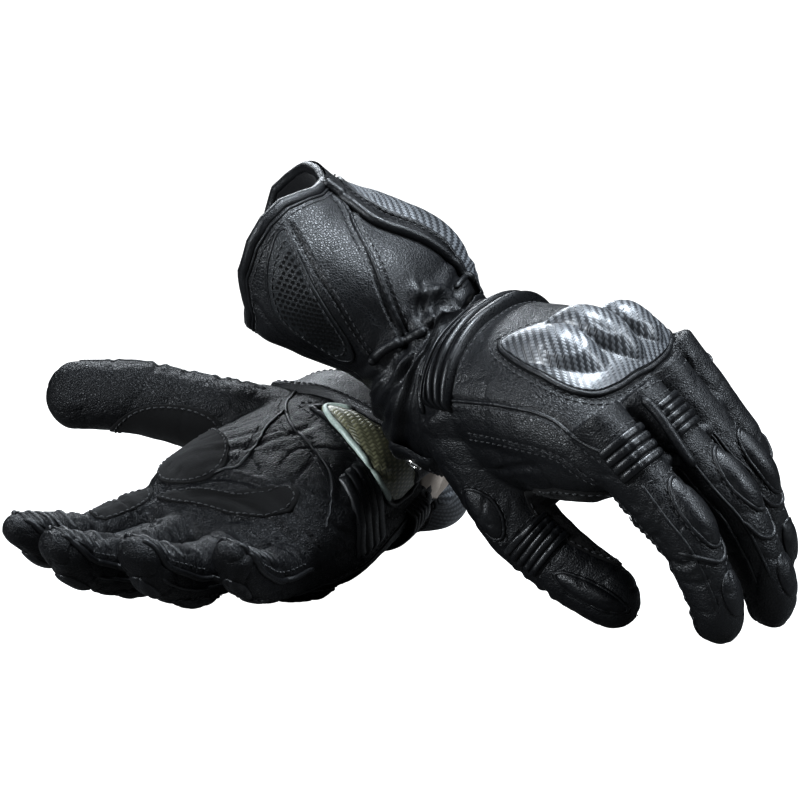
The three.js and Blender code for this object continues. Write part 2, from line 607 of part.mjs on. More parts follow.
// A pale cord round the edge of the palm slider.
function sliderRim(place, outline) {
  const n = outline.length;
  const middle = outline.reduce((m, p) => [m[0] + p[0] / n, m[1] + p[1] / n], [0, 0]);
  const grown = (p, share) => [middle[0] + (p[0] - middle[0]) * share, middle[1] + (p[1] - middle[1]) * share];
  const points = [];
  const corners = [[1.04, -SUNK], [1.15, -SUNK], [1.15, 2], [1.04, 2]];
  for (const p of outline)
    for (const [share, rise] of corners) points.push(place(...grown(p, share), rise));
  const index = [];
  const c = corners.length;
  for (let i = 0; i < n; i++)
    for (let k = 0; k < c; k++) {
      const a = i * c + k;
      const b = i * c + ((k + 1) % c);
      const d = ((i + 1) % n) * c + k;
      const e = ((i + 1) % n) * c + ((k + 1) % c);
      index.push(a, b, e, a, e, d);
    }
  return closedGeometry(points, index);
}

// Cuts a mesh of an upright glove flat at z = 0 of the world.
function cutAtFloor(mesh) {
  if (new THREE.Box3().setFromObject(mesh, true).min.z >= 0) return;
  const under = new THREE.BoxGeometry(800, 800, 100).translate(0, 0, -50);
  under.applyMatrix4(mesh.matrixWorld.clone().invert());
  if (mesh.matrixWorld.determinant() < 0) under.index.array.reverse();
  mesh.geometry = toGeometry(largest(toSolid(mesh.geometry).subtract(toSolid(under))));
}

// ---- the pair ----
// Each glove is set down so that it sinks SETTLE into the floor, and is cut flat there.
const SETTLE = 1.4;
const pair = new THREE.Group();
for (const [side, pose] of Object.entries(GLOVES)) {
  const glove = new THREE.Group();
  glove.name = side;
  const made = makeGlove(pose);
  for (const [name, [geometry, material]] of Object.entries(made.pieces)) {
    const mesh = new THREE.Mesh(geometry, material);
    mesh.name = `${side}_${name}`;
    glove.add(mesh);
  }
  const { yaw, pitch, roll } = pose.turn;
  glove.rotation.set(radians(roll), radians(pitch), radians(yaw), "ZYX");
  glove.position.set(...pose.wrist);
  glove.scale.set(1, pose.mirror, 1);
  glove.updateMatrixWorld(true);
  glove.position.z = -new THREE.Box3().setFromObject(glove, true).min.z - SETTLE;
  glove.updateMatrixWorld(true);
  for (const mesh of glove.children) cutAtFloor(mesh);
  pair.add(glove);
  glove.userData = { joints: made.joints, limbs: made.limbs, mirror: pose.mirror };
}

// The origin is at the middle of the bottom of the box round the pair.
pair.updateMatrixWorld(true);
const box = new THREE.Box3().setFromObject(pair, true);
pair.position.set(-(box.min.x + box.max.x) / 2, -(box.min.y + box.max.y) / 2, 0);
pair.updateMatrixWorld(true);

export default pair;
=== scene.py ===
import math

import bpy
import numpy as np
from mathutils import Matrix, Vector
from mathutils.bvhtree import BVHTree

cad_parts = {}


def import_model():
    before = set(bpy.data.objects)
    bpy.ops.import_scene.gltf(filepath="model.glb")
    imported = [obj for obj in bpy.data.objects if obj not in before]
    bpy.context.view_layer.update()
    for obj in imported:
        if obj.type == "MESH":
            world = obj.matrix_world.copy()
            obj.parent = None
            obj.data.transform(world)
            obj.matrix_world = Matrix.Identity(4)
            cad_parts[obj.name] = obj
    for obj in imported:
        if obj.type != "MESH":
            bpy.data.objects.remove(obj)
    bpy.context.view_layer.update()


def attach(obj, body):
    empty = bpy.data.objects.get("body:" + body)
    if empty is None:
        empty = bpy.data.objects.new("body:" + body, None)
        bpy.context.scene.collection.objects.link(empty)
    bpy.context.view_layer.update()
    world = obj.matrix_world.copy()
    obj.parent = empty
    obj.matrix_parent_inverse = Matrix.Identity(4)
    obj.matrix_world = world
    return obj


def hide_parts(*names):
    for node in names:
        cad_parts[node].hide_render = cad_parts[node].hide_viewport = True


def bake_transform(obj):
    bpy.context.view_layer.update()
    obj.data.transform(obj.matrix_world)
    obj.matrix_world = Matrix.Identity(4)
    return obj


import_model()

# ---------------------------------------------------------------- the shape of a glove, in millimetres
# Glove frame: x from the wrist to the fingertips, y towards the little finger, z out of the back of
# the hand. A place on a limb is (s, a): s along its centreline, a round it in degrees, 0 at the back,
# 90 at the little-finger side and 180 at the palm side.
CUFF = 121
SKEW = 12  # how much further the little-finger side of the mouth reaches
TRUNK = [
    (-126, 42, 38), (-80, 47, 40.5), (-42, 39, 33), (-12, 41, 35), (2, 41.5, 33),
    (26, 46, 33), (56, 51, 31.5), (80, 52.5, 27), (93, 52, 22), (110, 50, 16),
]
FINGERS = {  # knuckle, fan, bones, half width, half height
    "index": ((90, -38.6), -5, (48, 27, 23), 12.3, 14),
    "middle": ((94, -12.8), -1, (52, 30, 24), 12.3, 14.4),
    "ring": ((90, 12.9), 3.5, (48, 28, 23), 12.2, 13.8),
    "little": ((82, 37.6), 9, (38, 22, 21), 11.2, 12.6),
}
THUMB_ROOT = (10, -26, -8)
THUMB_BONES = (44, 32, 36)
THUMB_WIDTH = (21, 15, 12.2)
THUMB_HEIGHT = (20, 17.2, 16.5)
THUMB_JOINT = 64
THUMB_CAP = 15
FINGER_TAPER = 0.78
KNUCKLE_RISE = 4.5
POSES = {
    "left": {
        "mirror": 1, "bend": -43, "swing": -8,
        "curl": {"index": (47, 21, 16), "middle": (46, 21, 16), "ring": (51, 22, 16), "little": (55, 22, 16)},
        "thumb": (-16, 57, (-24, -8)), "thumb_grown": -5, "flat_tips": 0.1,
        "thumb_girth": 0.8, "finger_grown": -4,
        "wrist": (38.55, -48.83, 97.79), "turn": (-36, 4.2, 19),
    },
    "right": {
        "mirror": -1, "bend": -41.7, "swing": -42,
        "curl": {"index": (8, 21, 16), "middle": (12, 21, 16), "ring": (16, 22, 16), "little": (20, 22, 16)},
        "thumb": (-62, 6, (4, -14)), "thumb_grown": 11, "flat_tips": 0.3,
        "thumb_girth": 1.0, "finger_grown": 0,
        "wrist": (-24.45, 19.17, 61.38), "turn": (-129, 18, 164),
    },
}


def smooth(x, low, high):
    t = np.clip((x - low) / (high - low), 0.0, 1.0)
    return t * t * (3 - 2 * t)


def arrays(*values):
    """The values as float arrays of one shape."""
    return np.broadcast_arrays(*[np.asarray(v, float) for v in values])


def turn_matrix(yaw, pitch, roll):
    return (Matrix.Rotation(math.radians(yaw), 3, "Z") @ Matrix.Rotation(math.radians(pitch), 3, "Y")
            @ Matrix.Rotation(math.radians(roll), 3, "X"))


class Limb:
    """A bent tube of leather: a centreline that starts at origin, with an oval section at each place."""

    def __init__(self, origin, along, up, size, bend, swing=lambda s: 0.0, ends=(-150, 130), power=2.3,
                 skew=None):
        self.size, self.power, self.skew = size, power, skew
        along, up = np.array(along, float), np.array(up, float)
        level = np.cross(up, along)
        self.places = np.arange(ends[0], ends[1] + 1, 1.0)

        def heading(s):
            a, c = math.radians(bend(s)), math.radians(swing(s))
            flat = along * math.cos(c) + level * math.sin(c)
            return flat * math.cos(a) - up * math.sin(a)

        steps = [heading(s + 0.5) for s in self.places[:-1]]
        line = np.concatenate([[np.zeros(3)], np.cumsum(steps, axis=0)])
        zero = int(-ends[0])
        self.line = line - line[zero] + np.array(origin, float)
        self.direction = np.array([heading(s) for s in self.places])
        swings = np.radians([swing(s) for s in self.places])
        self.side = level[None] * np.cos(swings)[:, None] - along[None] * np.sin(swings)[:, None]
        self.up = np.cross(self.direction, self.side)

    def frames(self, s):
        def pick(values):
            return np.stack([np.interp(s, self.places, values[:, k]) for k in range(3)], axis=-1)
        return pick(self.line), pick(self.direction), pick(self.side), pick(self.up)

    def points(self, s, degrees, offset=0.0):
        """Points in the glove frame, in mm. s, degrees and offset may be arrays."""
        s, degrees, offset = arrays(s, degrees, offset)
        a = np.radians(degrees)
        if self.skew is not None:
            s = s - self.skew(s) * np.sin(a)
        origin, _, side, up = self.frames(s)
        w, h = self.size(s)
        p = 2 / self.power
        sn, cs = np.sin(a), np.cos(a)
        across = np.sign(sn) * np.abs(sn) ** p * np.maximum(w + offset, 0.4)
        rise = np.sign(cs) * np.abs(cs) ** p * np.maximum(h + offset, 0.4)
        return origin + side * across[..., None] + up * rise[..., None]


def table_size(s):
    """Half width and half height of the trunk, smooth through TRUNK."""
    table = np.array(TRUNK, float)
    n = len(table)
    s = np.asarray(s, float)
    k = np.clip(np.searchsorted(table[1:, 0], s, side="left"), 0, n - 2)
    t = np.clip((s - table[k, 0]) / (table[k + 1, 0] - table[k, 0]), 0, 1)
    out = []
    for column in (1, 2):
        v = table[:, column]
        p0, p1, p2, p3 = v[np.maximum(k - 1, 0)], v[k], v[k + 1], v[np.minimum(k + 2, n - 1)]
        v0, v1 = (p2 - p0) / 2, (p3 - p1) / 2
        out.append((2 * p1 - 2 * p2 + v0 + v1) * t**3 + (-3 * p1 + 3 * p2 - 2 * v0 - v1) * t**2 + v0 * t + p1)
    return out[0], out[1]


def round_tip(s, length, tip):
    into = np.maximum(0, (s - (length - tip)) / tip)
    return np.sqrt(np.maximum(1 - into * into, 0.0004))


def make_limbs(pose):
    def before(s):
        return float(smooth(s, -46, 4)) - 1

    limbs = {"trunk": Limb(
        (0, 0, 0), (1, 0, 0), (0, 0, 1), table_size, lambda s: pose["bend"] * before(s),
        lambda s: pose["swing"] * before(s), ends=(-150, 125), power=2.35,
        skew=lambda s: SKEW * (1 - smooth(s, -CUFF, -50)))}
    for name, (knuckle, fan, bones, width, height) in FINGERS.items():
        curl, length, fan = pose["curl"][name], sum(bones) + pose["finger_grown"], math.radians(fan)

        def bend(s, curl=curl, bones=bones):
            if s < 0:
                return curl[0]
            first, second = bones[0], bones[0] + bones[1]
            turns = [curl[k] * float(smooth(s, j - 9, j + 9)) for k, j in ((1, first), (2, second))]
            return curl[0] + turns[0] + turns[1]

        def size(s, width=width, height=height, length=length):
            taper = 1 + (FINGER_TAPER - 1) * np.clip(s / length, 0, 1)
            close = round_tip(s, length, height * 0.95)
            worn = 1 - pose["flat_tips"] * smooth(s, length - 40, length - 6)
            return width * taper * close, height * taper * close * worn

        limbs[name] = Limb((*knuckle, KNUCKLE_RISE), (math.cos(fan), math.sin(fan), 0), (0, 0, 1), size, bend,
                           ends=(-40, int(length) + 2))
    yaw, pitch, bends = pose["thumb"]
    yaw, pitch = math.radians(yaw), math.radians(pitch)
    along = Vector((math.cos(yaw) * math.cos(pitch), math.sin(yaw) * math.cos(pitch), -math.sin(pitch)))
    level = (Vector((0, 0, 1)) - along * along.z).normalized()
    up = Matrix.Rotation(math.radians(-35), 3, along) @ level
    length = sum(THUMB_BONES) + pose["thumb_grown"]
    joints = (THUMB_BONES[0], THUMB_BONES[0] + THUMB_BONES[1])

    def thumb_bend(s):
        return sum(b * float(smooth(s, j - 12, j + 12)) for b, j in zip(bends, joints))

    def thumb_size(s):
        k = np.clip(s / length, 0, 1)
        close = round_tip(s, length, THUMB_CAP)
        girth = pose["thumb_girth"]
        close = close * np.interp(k, (0, 0.5, 1), (1, (1 + girth) / 2, girth))
        width, height = (np.interp(k, (0, 0.5, 1), table) for table in (THUMB_WIDTH, THUMB_HEIGHT))
        return width * close, height * close

    limbs["thumb"] = Limb(THUMB_ROOT, along, up, thumb_size, thumb_bend, ends=(-24, int(length) + 2))
    return limbs


# How the leather has settled, in mm: how far the mouth of the cuff is pulled along (angle, mm).
MOUTH_PULL = np.array([
    (0, 20, 40, 60, 80, 100, 120, 140, 160, 180, 200, 215, 230, 250, 270, 290, 310, 330, 350, 360),
    (5, 7, 3, -1, -3, -6, -3, 3, 7, 9, 11, 13, 14, 9, -5, -9, -9, -6, 1, 5),
], float)


def toward(a, middle):
    """1 at the angle middle, falling to 0 a quarter turn away."""
    return np.clip(np.cos(np.radians(a - middle)), 0, 1)


def worn_form(s, a):
    """How far the worn trunk stands off its plain form: the cuff gone flat, the knuckles fallen away."""
    cuff = 1 - smooth(s, -52, -30)
    under = toward(a, 222) ** 1.5 * (1 - smooth(s, -44, -22)) * smooth(s, -122, -60)
    over = toward(a, 40) * (1 - smooth(s, -112, -88))
    flap = toward(a, 45) * smooth(s, -94, -62) * (1 - smooth(s, -46, -34))
    back = np.clip(np.cos(np.radians(a)) * 1.4, 0, 1)
    knuckles = smooth(s, 74, 100) * (0.3 + 0.7 * back)
    return 8.5 * flap - 4.5 * cuff - 9.0 * under - 2.5 * over - 15 * knuckles


class Glove:
    def __init__(self, side):
        self.side = side
        self.pose = POSES[side]
        self.limbs = make_limbs(self.pose)
        self.turn = np.array(turn_matrix(*self.pose["turn"]))
        self.mirror = np.array([1, self.pose["mirror"], 1])
        self.wrist = np.array(self.pose["wrist"])

    def world(self, points):
        """Glove-frame millimetres to metres of the shared frame."""
        return (np.asarray(points) * self.mirror) @ self.turn.T / 1000 + self.wrist / 1000

    def on(self, limb, s, a, offset=0.0):
        if limb == "trunk":
            s, a = arrays(s, np.asarray(a, float) % 360)
            offset = offset + worn_form(s, a)
            s = s + np.interp(a, MOUTH_PULL[0], MOUTH_PULL[1]) * (1 - smooth(s, -126, -84))
            s = s - 17 * np.clip(np.sin(np.radians(a + 25)), 0, 1) * smooth(s, 82, 110)
        return self.world(self.limbs[limb].points(s, a, offset))


# ---------------------------------------------------------------- meshes
scene = bpy.context.scene


def new_object(name, vertices, faces):
    mesh = bpy.data.meshes.new(name)
    vertices = np.asarray(vertices, np.float32).reshape(-1, 3)
    mesh.from_pydata(vertices, [], faces)
    mesh.validate()
    mesh.shade_smooth()
    obj = bpy.data.objects.new(name, mesh)
    scene.collection.objects.link(obj)
    return obj


def gathered(rows, label):
    out = np.empty(len(rows) * 3, np.float32)
    rows.foreach_get(label, out)
    return out.reshape(-1, 3).astype(float)


def coordinates(obj):
    return gathered(obj.data.vertices, "co")


def set_coordinates(obj, points):
    obj.data.vertices.foreach_set("co", np.asarray(points, np.float32).ravel())
    obj.data.update()


def vertex_normals(obj):
    return gathered(obj.data.vertex_normals, "vector")


def grid_faces(rows, columns, closed=False):
    faces = []
    for i in range(rows - 1):
        for j in range(columns if closed else columns - 1):
            a, b = i * columns + j, i * columns + (j + 1) % columns
            faces.append((a, b, b + columns, a + columns))
    return faces


def bake(obj, *modifiers):
    """Add each (type, settings) modifier, then make the result the mesh."""
    for kind, settings in modifiers:
        modifier = obj.modifiers.new(kind, kind)
        for key, value in settings.items():
            setattr(modifier, key, value)
    graph = bpy.context.evaluated_depsgraph_get()
    graph.update()
    mesh = bpy.data.meshes.new_from_object(obj.evaluated_get(graph))
    obj.modifiers.clear()
    old, obj.data = obj.data, mesh
    bpy.data.meshes.remove(old)
    mesh.name = obj.name


def closed_tube(points):
    """Vertices and faces of rings (rows, columns, 3), with both ends closed."""
    rows, columns = points.shape[:2]
    vertices = np.concatenate([points.reshape(-1, 3), [points[0].mean(0)], [points[-1].mean(0)]])
    faces = grid_faces(rows, columns, closed=True)
    first, last = rows * columns, rows * columns + 1
    top = (rows - 1) * columns
    for j in range(columns):
        k = (j + 1) % columns
        faces.append((k, j, first))
        faces.append((top + j, top + k, last))
    return vertices, faces


def lattice(points, seed):
    """Smooth noise from -1 to 1 at each point, with cells one unit wide."""
    cell = np.floor(points).astype(np.int64)
    f = points - cell
    f = f * f * f * (f * (f * 6 - 15) + 10)
    total = np.zeros(len(points))
    for corner in range(8):
        o = np.array([corner & 1, corner >> 1 & 1, corner >> 2 & 1])
        c = cell + o
        h = (c[:, 0] * 73856093) ^ (c[:, 1] * 19349663) ^ (c[:, 2] * 83492791) ^ (seed * 2654435)
        h = (h ^ (h >> 13)) * 1274126177 & 0xFFFFFFFF
        value = ((h ^ (h >> 16)) & 0xFFFF) / 32767.5 - 1
        weight = np.prod(np.where(o, f, 1 - f), axis=1)
        total += value * weight
    return total


VOXEL = 0.0012
FREE = 14  # mm beyond the knuckle where a finger is clear of its neighbours
THUMB_FREE = 54
CHUNK = 4000  # points looked up at a time, to keep the distance tables small


def hand_skin(glove):
    """The leather of the hand, its fingers and thumb as one skin."""
    vertices, faces = [], []

    def add(points):
        v, f = closed_tube(points)
        base = sum(len(x) for x in vertices)
        vertices.append(v)
        faces.extend(tuple(base + i for i in face) for face in f)

    def cap_places(length, cap):
        return list(length - cap * (1 - np.sin(np.radians(np.arange(10, 90, 10)))))

    angles = np.arange(0, 360, 6)
    for name in glove.limbs:
        if name == "trunk":
            places = list(np.arange(-10, 104, 4)) + [106, 108, 109.5, 110.3]
            shrink = [0] * (len(places) - 4) + [-1, -3, -6, -10]
        elif name == "thumb":
            length = sum(THUMB_BONES) + glove.pose["thumb_grown"]
            places = list(np.arange(-14, length - THUMB_CAP, 3)) + cap_places(length, THUMB_CAP)
            shrink = [0] * len(places)
        else:
            length, cap = sum(FINGERS[name][2]) + glove.pose["finger_grown"], FINGERS[name][4] * 0.95
            places = list(np.arange(-16, length - cap, 3)) + cap_places(length, cap)
            shrink = [0] * len(places)
        s, a = np.meshgrid(places, angles, indexing="ij")
        add(glove.on(name, s, a, np.array(shrink, float)[:, None]))
    obj = new_object(glove.side + "_skin", np.concatenate(vertices), faces)
    if glove.pose["mirror"] < 0:
        obj.data.flip_normals()
    bake(obj, ("REMESH", {"mode": "VOXEL", "voxel_size": VOXEL, "use_smooth_shade": True}),
         ("SMOOTH", {"factor": 0.5, "iterations": 6}))
    return obj


def limb_coordinates(glove, points):
    """The limbs' names and, for each limb and world point, the point's s, angle and gap from the leather."""
    local = ((points - glove.wrist / 1000) * 1000 @ glove.turn) * glove.mirror
    names = list(glove.limbs)
    s_all, a_all, gap_all = [], [], []
    for name in names:
        limb = glove.limbs[name]
        index = np.zeros(len(local), int)
        for start in range(0, len(local), CHUNK):
            chunk = local[start:start + CHUNK]
            d = ((chunk[:, None] - limb.line[None, ::2]) ** 2).sum(-1)
            index[start:start + CHUNK] = d.argmin(1) * 2
        offset = local - limb.line[index]
        along = (offset * limb.direction[index]).sum(1)
        s = limb.places[index] + along
        y = (offset * limb.side[index]).sum(1)
        z = (offset * limb.up[index]).sum(1)
        w, h = limb.size(s)
        p = limb.power
        sine, cosine = np.sign(y) * np.abs(y / w) ** (p / 2), np.sign(z) * np.abs(z / h) ** (p / 2)
        a = np.degrees(np.arctan2(sine, cosine))
        radius = (np.abs(y / w) ** p + np.abs(z / h) ** p) ** (1 / p)
        s_all.append(s)
        a_all.append(a % 360)
        gap_all.append(np.abs(radius - 1) * np.minimum(w, h) + np.where(s < limb.places[0] + 8, 50, 0))
    return names, np.array(s_all), np.array(a_all), np.array(gap_all)


gloves = [Glove(side) for side in ("left", "right")]


# ---------------------------------------------------------------- materials
def material(name, **settings):
    m = bpy.data.materials.new(name)
    m.use_nodes = True
    shader = m.node_tree.nodes["Principled BSDF"]
    for key, value in settings.items():
        shader.inputs[key.replace("_", " ")].default_value = value
    return m, m.node_tree, shader


def node(tree, kind, inputs=None, **settings):
    n = tree.nodes.new("ShaderNode" + kind)
    for key, value in settings.items():
        setattr(n, key, value)
    for key, value in (inputs or {}).items():
        socket = n.inputs[key]
        if isinstance(value, bpy.types.NodeSocket):
            tree.links.new(value, socket)
        else:
            socket.default_value = value
    return n


def place(tree):
    return node(tree, "TexCoord").outputs["Object"]


def maths(tree, operation, a, b=0.5):
    return node(tree, "Math", {0: a, 1: b}, operation=operation).outputs[0]


def plus(tree, a, b):
    return maths(tree, "ADD", a, b)


def times(tree, a, b):
    return maths(tree, "MULTIPLY", a, b)


def mixed(tree, share, a, b, how="MIX"):
    """Two colours mixed; each is a colour socket or (red, green, blue)."""
    a, b = ((*c, 1) if isinstance(c, tuple) else c for c in (a, b))
    return node(tree, "Mix", {0: share, 6: a, 7: b}, data_type="RGBA", blend_type=how).outputs[2]


def cloud(tree, where, scale, detail, **more):
    inputs = {"Vector": where, "Scale": float(scale), "Detail": detail, **more}
    return node(tree, "TexNoise", inputs).outputs["Fac"]


def ramp(tree, value, *stops):
    """A value mapped through (place, grey) stops."""
    n = node(tree, "ValToRGB", {"Fac": value})
    elements = n.color_ramp.elements
    while len(elements) < len(stops):
        elements.new(0.5)
    for element, (where, grey) in zip(elements, stops):
        element.position = where
        element.color = (grey, grey, grey, 1)
    return n.outputs["Color"]


def bump(tree, height, strength, distance, **more):
    inputs = {"Height": height, "Strength": strength, "Distance": distance, **more}
    return node(tree, "Bump", inputs).outputs["Normal"]


def dress(tree, shader, colour, normal, rough):
    for socket, value in (("Base Color", colour), ("Normal", normal), ("Roughness", rough)):
        tree.links.new(value, shader.inputs[socket])


def leather(name, dark, light, rough, grain=900, depth=0.12, crumple=0.35, specular=0.36):
    """Black grained cowhide: pebbles with finer pores, soft creases, painted shade in the pits between the
    pebbles and a worn sheen on what stands up.
    """
    m, tree, shader = material(name, Specular_IOR_Level=specular)
    where = place(tree)
    wobble = node(tree, "TexNoise", {"Vector": where, "Scale": 260.0, "Detail": 3.0}).outputs["Color"]
    bent = node(tree, "VectorMath", {0: wobble, 1: (0.0016, 0.0016, 0.0016)}, operation="MULTIPLY").outputs[0]
    bent = node(tree, "VectorMath", {0: where, 1: bent}, operation="ADD").outputs[0]
    pebbles = node(tree, "TexVoronoi", {"Vector": bent, "Scale": float(grain)}, feature="DISTANCE_TO_EDGE")
    pores = cloud(tree, where, grain * 3.0, 2.0)
    folds = cloud(tree, where, 55.0, 5.0, Roughness=0.6)
    patches = cloud(tree, where, 22.0, 4.0)
    cell = ramp(tree, pebbles.outputs["Distance"], (0.0, 0.0), (0.18, 0.75), (0.45, 1.0))
    height = plus(tree, times(tree, cell, 0.7), times(tree, pores, 0.3))
    fine = bump(tree, height, depth, 0.0009)
    broad = bump(tree, folds, crumple, 0.004, Normal=fine)
    # painted shade: the colour in the pits between the pebbles is darkened to 0.45 of the leather's
    pit_shade = mixed(tree, cell, (0.45, 0.45, 0.45), (1, 1, 1))
    colour = mixed(tree, 1.0, mixed(tree, patches, dark, light), pit_shade, "MULTIPLY")
    matt = times(tree, maths(tree, "SUBTRACT", 1.0, cell), 0.3)
    dress(tree, shader, colour, broad, plus(tree, plus(tree, times(tree, folds, 0.22), matt), rough - 0.11))
    return m


def weave(name, warp_sheen, weft_sheen, tow, rough, coat=0.0, metallic=0.0, depth=0.25, cloudy=0.3):
    """Twill from the piece's own weave_u and weave_v, in mm; tow is the width of one bundle of fibres. The
    lighter crown of each tow and the different warp and weft colours are painted sheen and shade.
    """
    m, tree, shader = material(name, Coat_Weight=coat, Coat_Roughness=0.26, Metallic=metallic)
    u, v = (maths(tree, "DIVIDE", node(tree, "Attribute", attribute_name=label).outputs["Fac"], tow)
            for label in ("weave_u", "weave_v"))
    cells = plus(tree, maths(tree, "FLOOR", u), maths(tree, "FLOOR", v))
    over = maths(tree, "LESS_THAN", maths(tree, "FRACT", maths(tree, "DIVIDE", cells, 4.0)), 0.499)

    def bulge(x):
        t = maths(tree, "FRACT", x)
        return times(tree, times(tree, t, maths(tree, "SUBTRACT", 1.0, t)), 4.0)

    lift = node(tree, "Mix", {0: over, 2: bulge(u), 3: bulge(v)}, data_type="FLOAT").outputs[0]
    fibres = cloud(tree, place(tree), 3200.0, 2.0)
    clouds = cloud(tree, place(tree), 60.0, 3.0)
    # painted sheen and shade: each tow is lighter along its crown and darker at its edges; the clouds and
    # fibres add random tone
    crown_shade_and_tone = plus(tree, times(tree, lift, 0.6), times(tree, clouds, cloudy * 2))
    crown_shade_and_tone = plus(tree, crown_shade_and_tone, times(tree, fibres, 0.25))
    grey = node(tree, "CombineColor", {0: crown_shade_and_tone, 1: crown_shade_and_tone, 2: crown_shade_and_tone}).outputs[0]
    colour = mixed(tree, 1.0, mixed(tree, over, warp_sheen, weft_sheen), grey, "MULTIPLY")
    rough = plus(tree, times(tree, fibres, 0.2), rough - 0.1)
    dress(tree, shader, colour, bump(tree, lift, depth, 0.0004), rough)
    return m


def napped(name, dark, light, scale, rough=0.95, sheen=0.4, depth=0.5):
    """Cloth, suede or thread: short fibres, brushed patches and a soft sheen."""
    m, tree, shader = material(name, Sheen_Weight=sheen, Sheen_Roughness=0.5, Specular_IOR_Level=0.2)
    fibres = cloud(tree, place(tree), scale, 4.0, Roughness=0.7)
    patches = cloud(tree, place(tree), scale / 14.0, 3.0)
    colour = mixed(tree, times(tree, plus(tree, fibres, patches), 0.5), dark, light)
    rough = plus(tree, times(tree, patches, 0.1), rough - 0.1)
    dress(tree, shader, colour, bump(tree, fibres, depth, 0.0006), rough)
    return m


def polished(name, dark, light, rough, metallic=0.0):
    """Rubber or metal with scuffs."""
    m, tree, shader = material(name, Metallic=metallic)
    scuffs = cloud(tree, place(tree), 900.0, 4.0)
    colour = mixed(tree, ramp(tree, scuffs, (0.35, 0.0), (0.7, 1.0)), dark, light)
    rough = plus(tree, times(tree, scuffs, 0.2), rough - 0.1)
    dress(tree, shader, colour, bump(tree, scuffs, 0.08, 0.0004), rough)
    return m


def glow_to_camera(surface, strength):
    """Light that only the camera sees, so that the pale floor throws none onto the leather."""
    tree = surface.node_tree
    shader = tree.nodes["Principled BSDF"]
    shader.inputs["Emission Color"].default_value = (1, 1, 1, 1)
    seen = node(tree, "LightPath").outputs["Is Camera Ray"]
    tree.links.new(times(tree, seen, strength), shader.inputs["Emission Strength"])


BLACK = ((0.0010, 0.0013, 0.0020), (0.0026, 0.0033, 0.0050))
PALM_BLACK = ((0.0010, 0.0012, 0.0018), (0.0026, 0.0031, 0.0044))
VENT_GREY = ((0.004, 0.005, 0.006), (0.011, 0.013, 0.015))
HIDE = leather("black_grain_leather", *BLACK, 0.31, grain=900, depth=0.3)
CUFF_HIDE = leather("coarse_grain_leather", *BLACK, 0.30, grain=820, depth=0.28, crumple=0.2)
PALM_HIDE = leather("palm_leather", *PALM_BLACK, 0.32, grain=850, depth=0.42, crumple=0.6, specular=0.2)
VENT_HIDE = leather("vented_leather", *VENT_GREY, 0.40, grain=950, depth=0.3, crumple=0.2)
SMOOTH_HIDE = leather("smooth_leather", *BLACK, 0.28, grain=950, depth=0.2, crumple=0.2)
RIB_HIDE = leather("rib_leather", *BLACK, 0.24, grain=1200, depth=0.12, crumple=0.12)
SUEDE = napped("black_suede", (0.0012, 0.0012, 0.0014), (0.004, 0.0039, 0.0040), 1500, sheen=0.05)
CLOTH = napped("black_lining", (0.002, 0.002, 0.0025), (0.007, 0.007, 0.008), 1100, sheen=0.1)
# painted reflection: a tan colour for the white floor seen at a grazing angle in the black leather
FLOOR_REFLECTION = napped("tan_floor_reflection", (0.30, 0.25, 0.21), (0.46, 0.40, 0.35), 1300, sheen=0.1)
# the warp and weft colours are painted sheen: the same fibres, darker or lighter by how they catch the light
CARBON = weave("carbon_twill", (0.012, 0.013, 0.015), (0.055, 0.058, 0.062), 0.9, 0.44, coat=0.3,
               metallic=0.1, depth=0.3, cloudy=0.9)
ARAMID = weave("olive_twill", (0.085, 0.085, 0.048), (0.150, 0.146, 0.090), 1.1, 0.42, coat=0.2, depth=0.5)
RIM = polished("grey_rubber", (0.20, 0.24, 0.215), (0.32, 0.36, 0.33), 0.45)
THREAD = napped("black_thread", (0.005, 0.005, 0.006), (0.016, 0.017, 0.019), 5000, rough=0.6, sheen=0.3)
STEEL = polished("brushed_steel", (0.55, 0.54, 0.52), (0.75, 0.74, 0.72), 0.25, metallic=1.0)
# painted shadow: near-black for the vent holes, the black lining seen through them and the shade inside them
HOLE_SHADOW = napped("hole_shadow", (0.0006, 0.0006, 0.0007), (0.0015, 0.0015, 0.0016), 2000, sheen=0.0)
FLOOR = napped("pale_floor", (0.10, 0.10, 0.10), (0.12, 0.12, 0.12), 300, sheen=0.0, depth=0.02)
glow_to_camera(FLOOR, 0.93)


# ---------------------------------------------------------------- laying things on the skin
def curve(points, closed=False, steps=24):
    """A smooth line through control points of any dimension, steps samples to each span."""
    p = np.asarray(points, float)
    n = len(p)
    spans = n if closed else n - 1
    out = []
    for i in range(spans):
        a, b = p[i], p[(i + 1) % n]
        before = p[i - 1] if closed or i > 0 else 2 * a - b
        after = p[(i + 2) % n] if closed or i + 2 < n else 2 * b - a
        for t in np.arange(steps) / steps:
            v0, v1 = (b - before) * 0.5, (after - a) * 0.5
            cubic, square = 2 * a - 2 * b + v0 + v1, -3 * a + 3 * b - 2 * v0 - v1
            out.append(cubic * t**3 + square * t**2 + v0 * t + a)
    if not closed:
        out.append(p[-1])
    return np.array(out)


def even(line, step, closed=False):
    """The rows of a line, spaced evenly by about step."""
    ends = np.concatenate([line, line[:1]]) if closed else line
    gone = np.concatenate([[0], np.cumsum(np.linalg.norm(np.diff(ends, axis=0), axis=1))])
    count = max(int(round(gone[-1] / step)), 2)
    at = np.linspace(0, gone[-1], count + 1)
    if closed:
        at = at[:-1]
    return np.stack([np.interp(at, gone, ends[:, k]) for k in range(ends.shape[1])], axis=1)


def scaled(line, share):
    """An outline grown or drawn in about its middle."""
    return line.mean(0) + (line - line.mean(0)) * share


REACH = 11.0  # mm either way that a piece looks for the skin


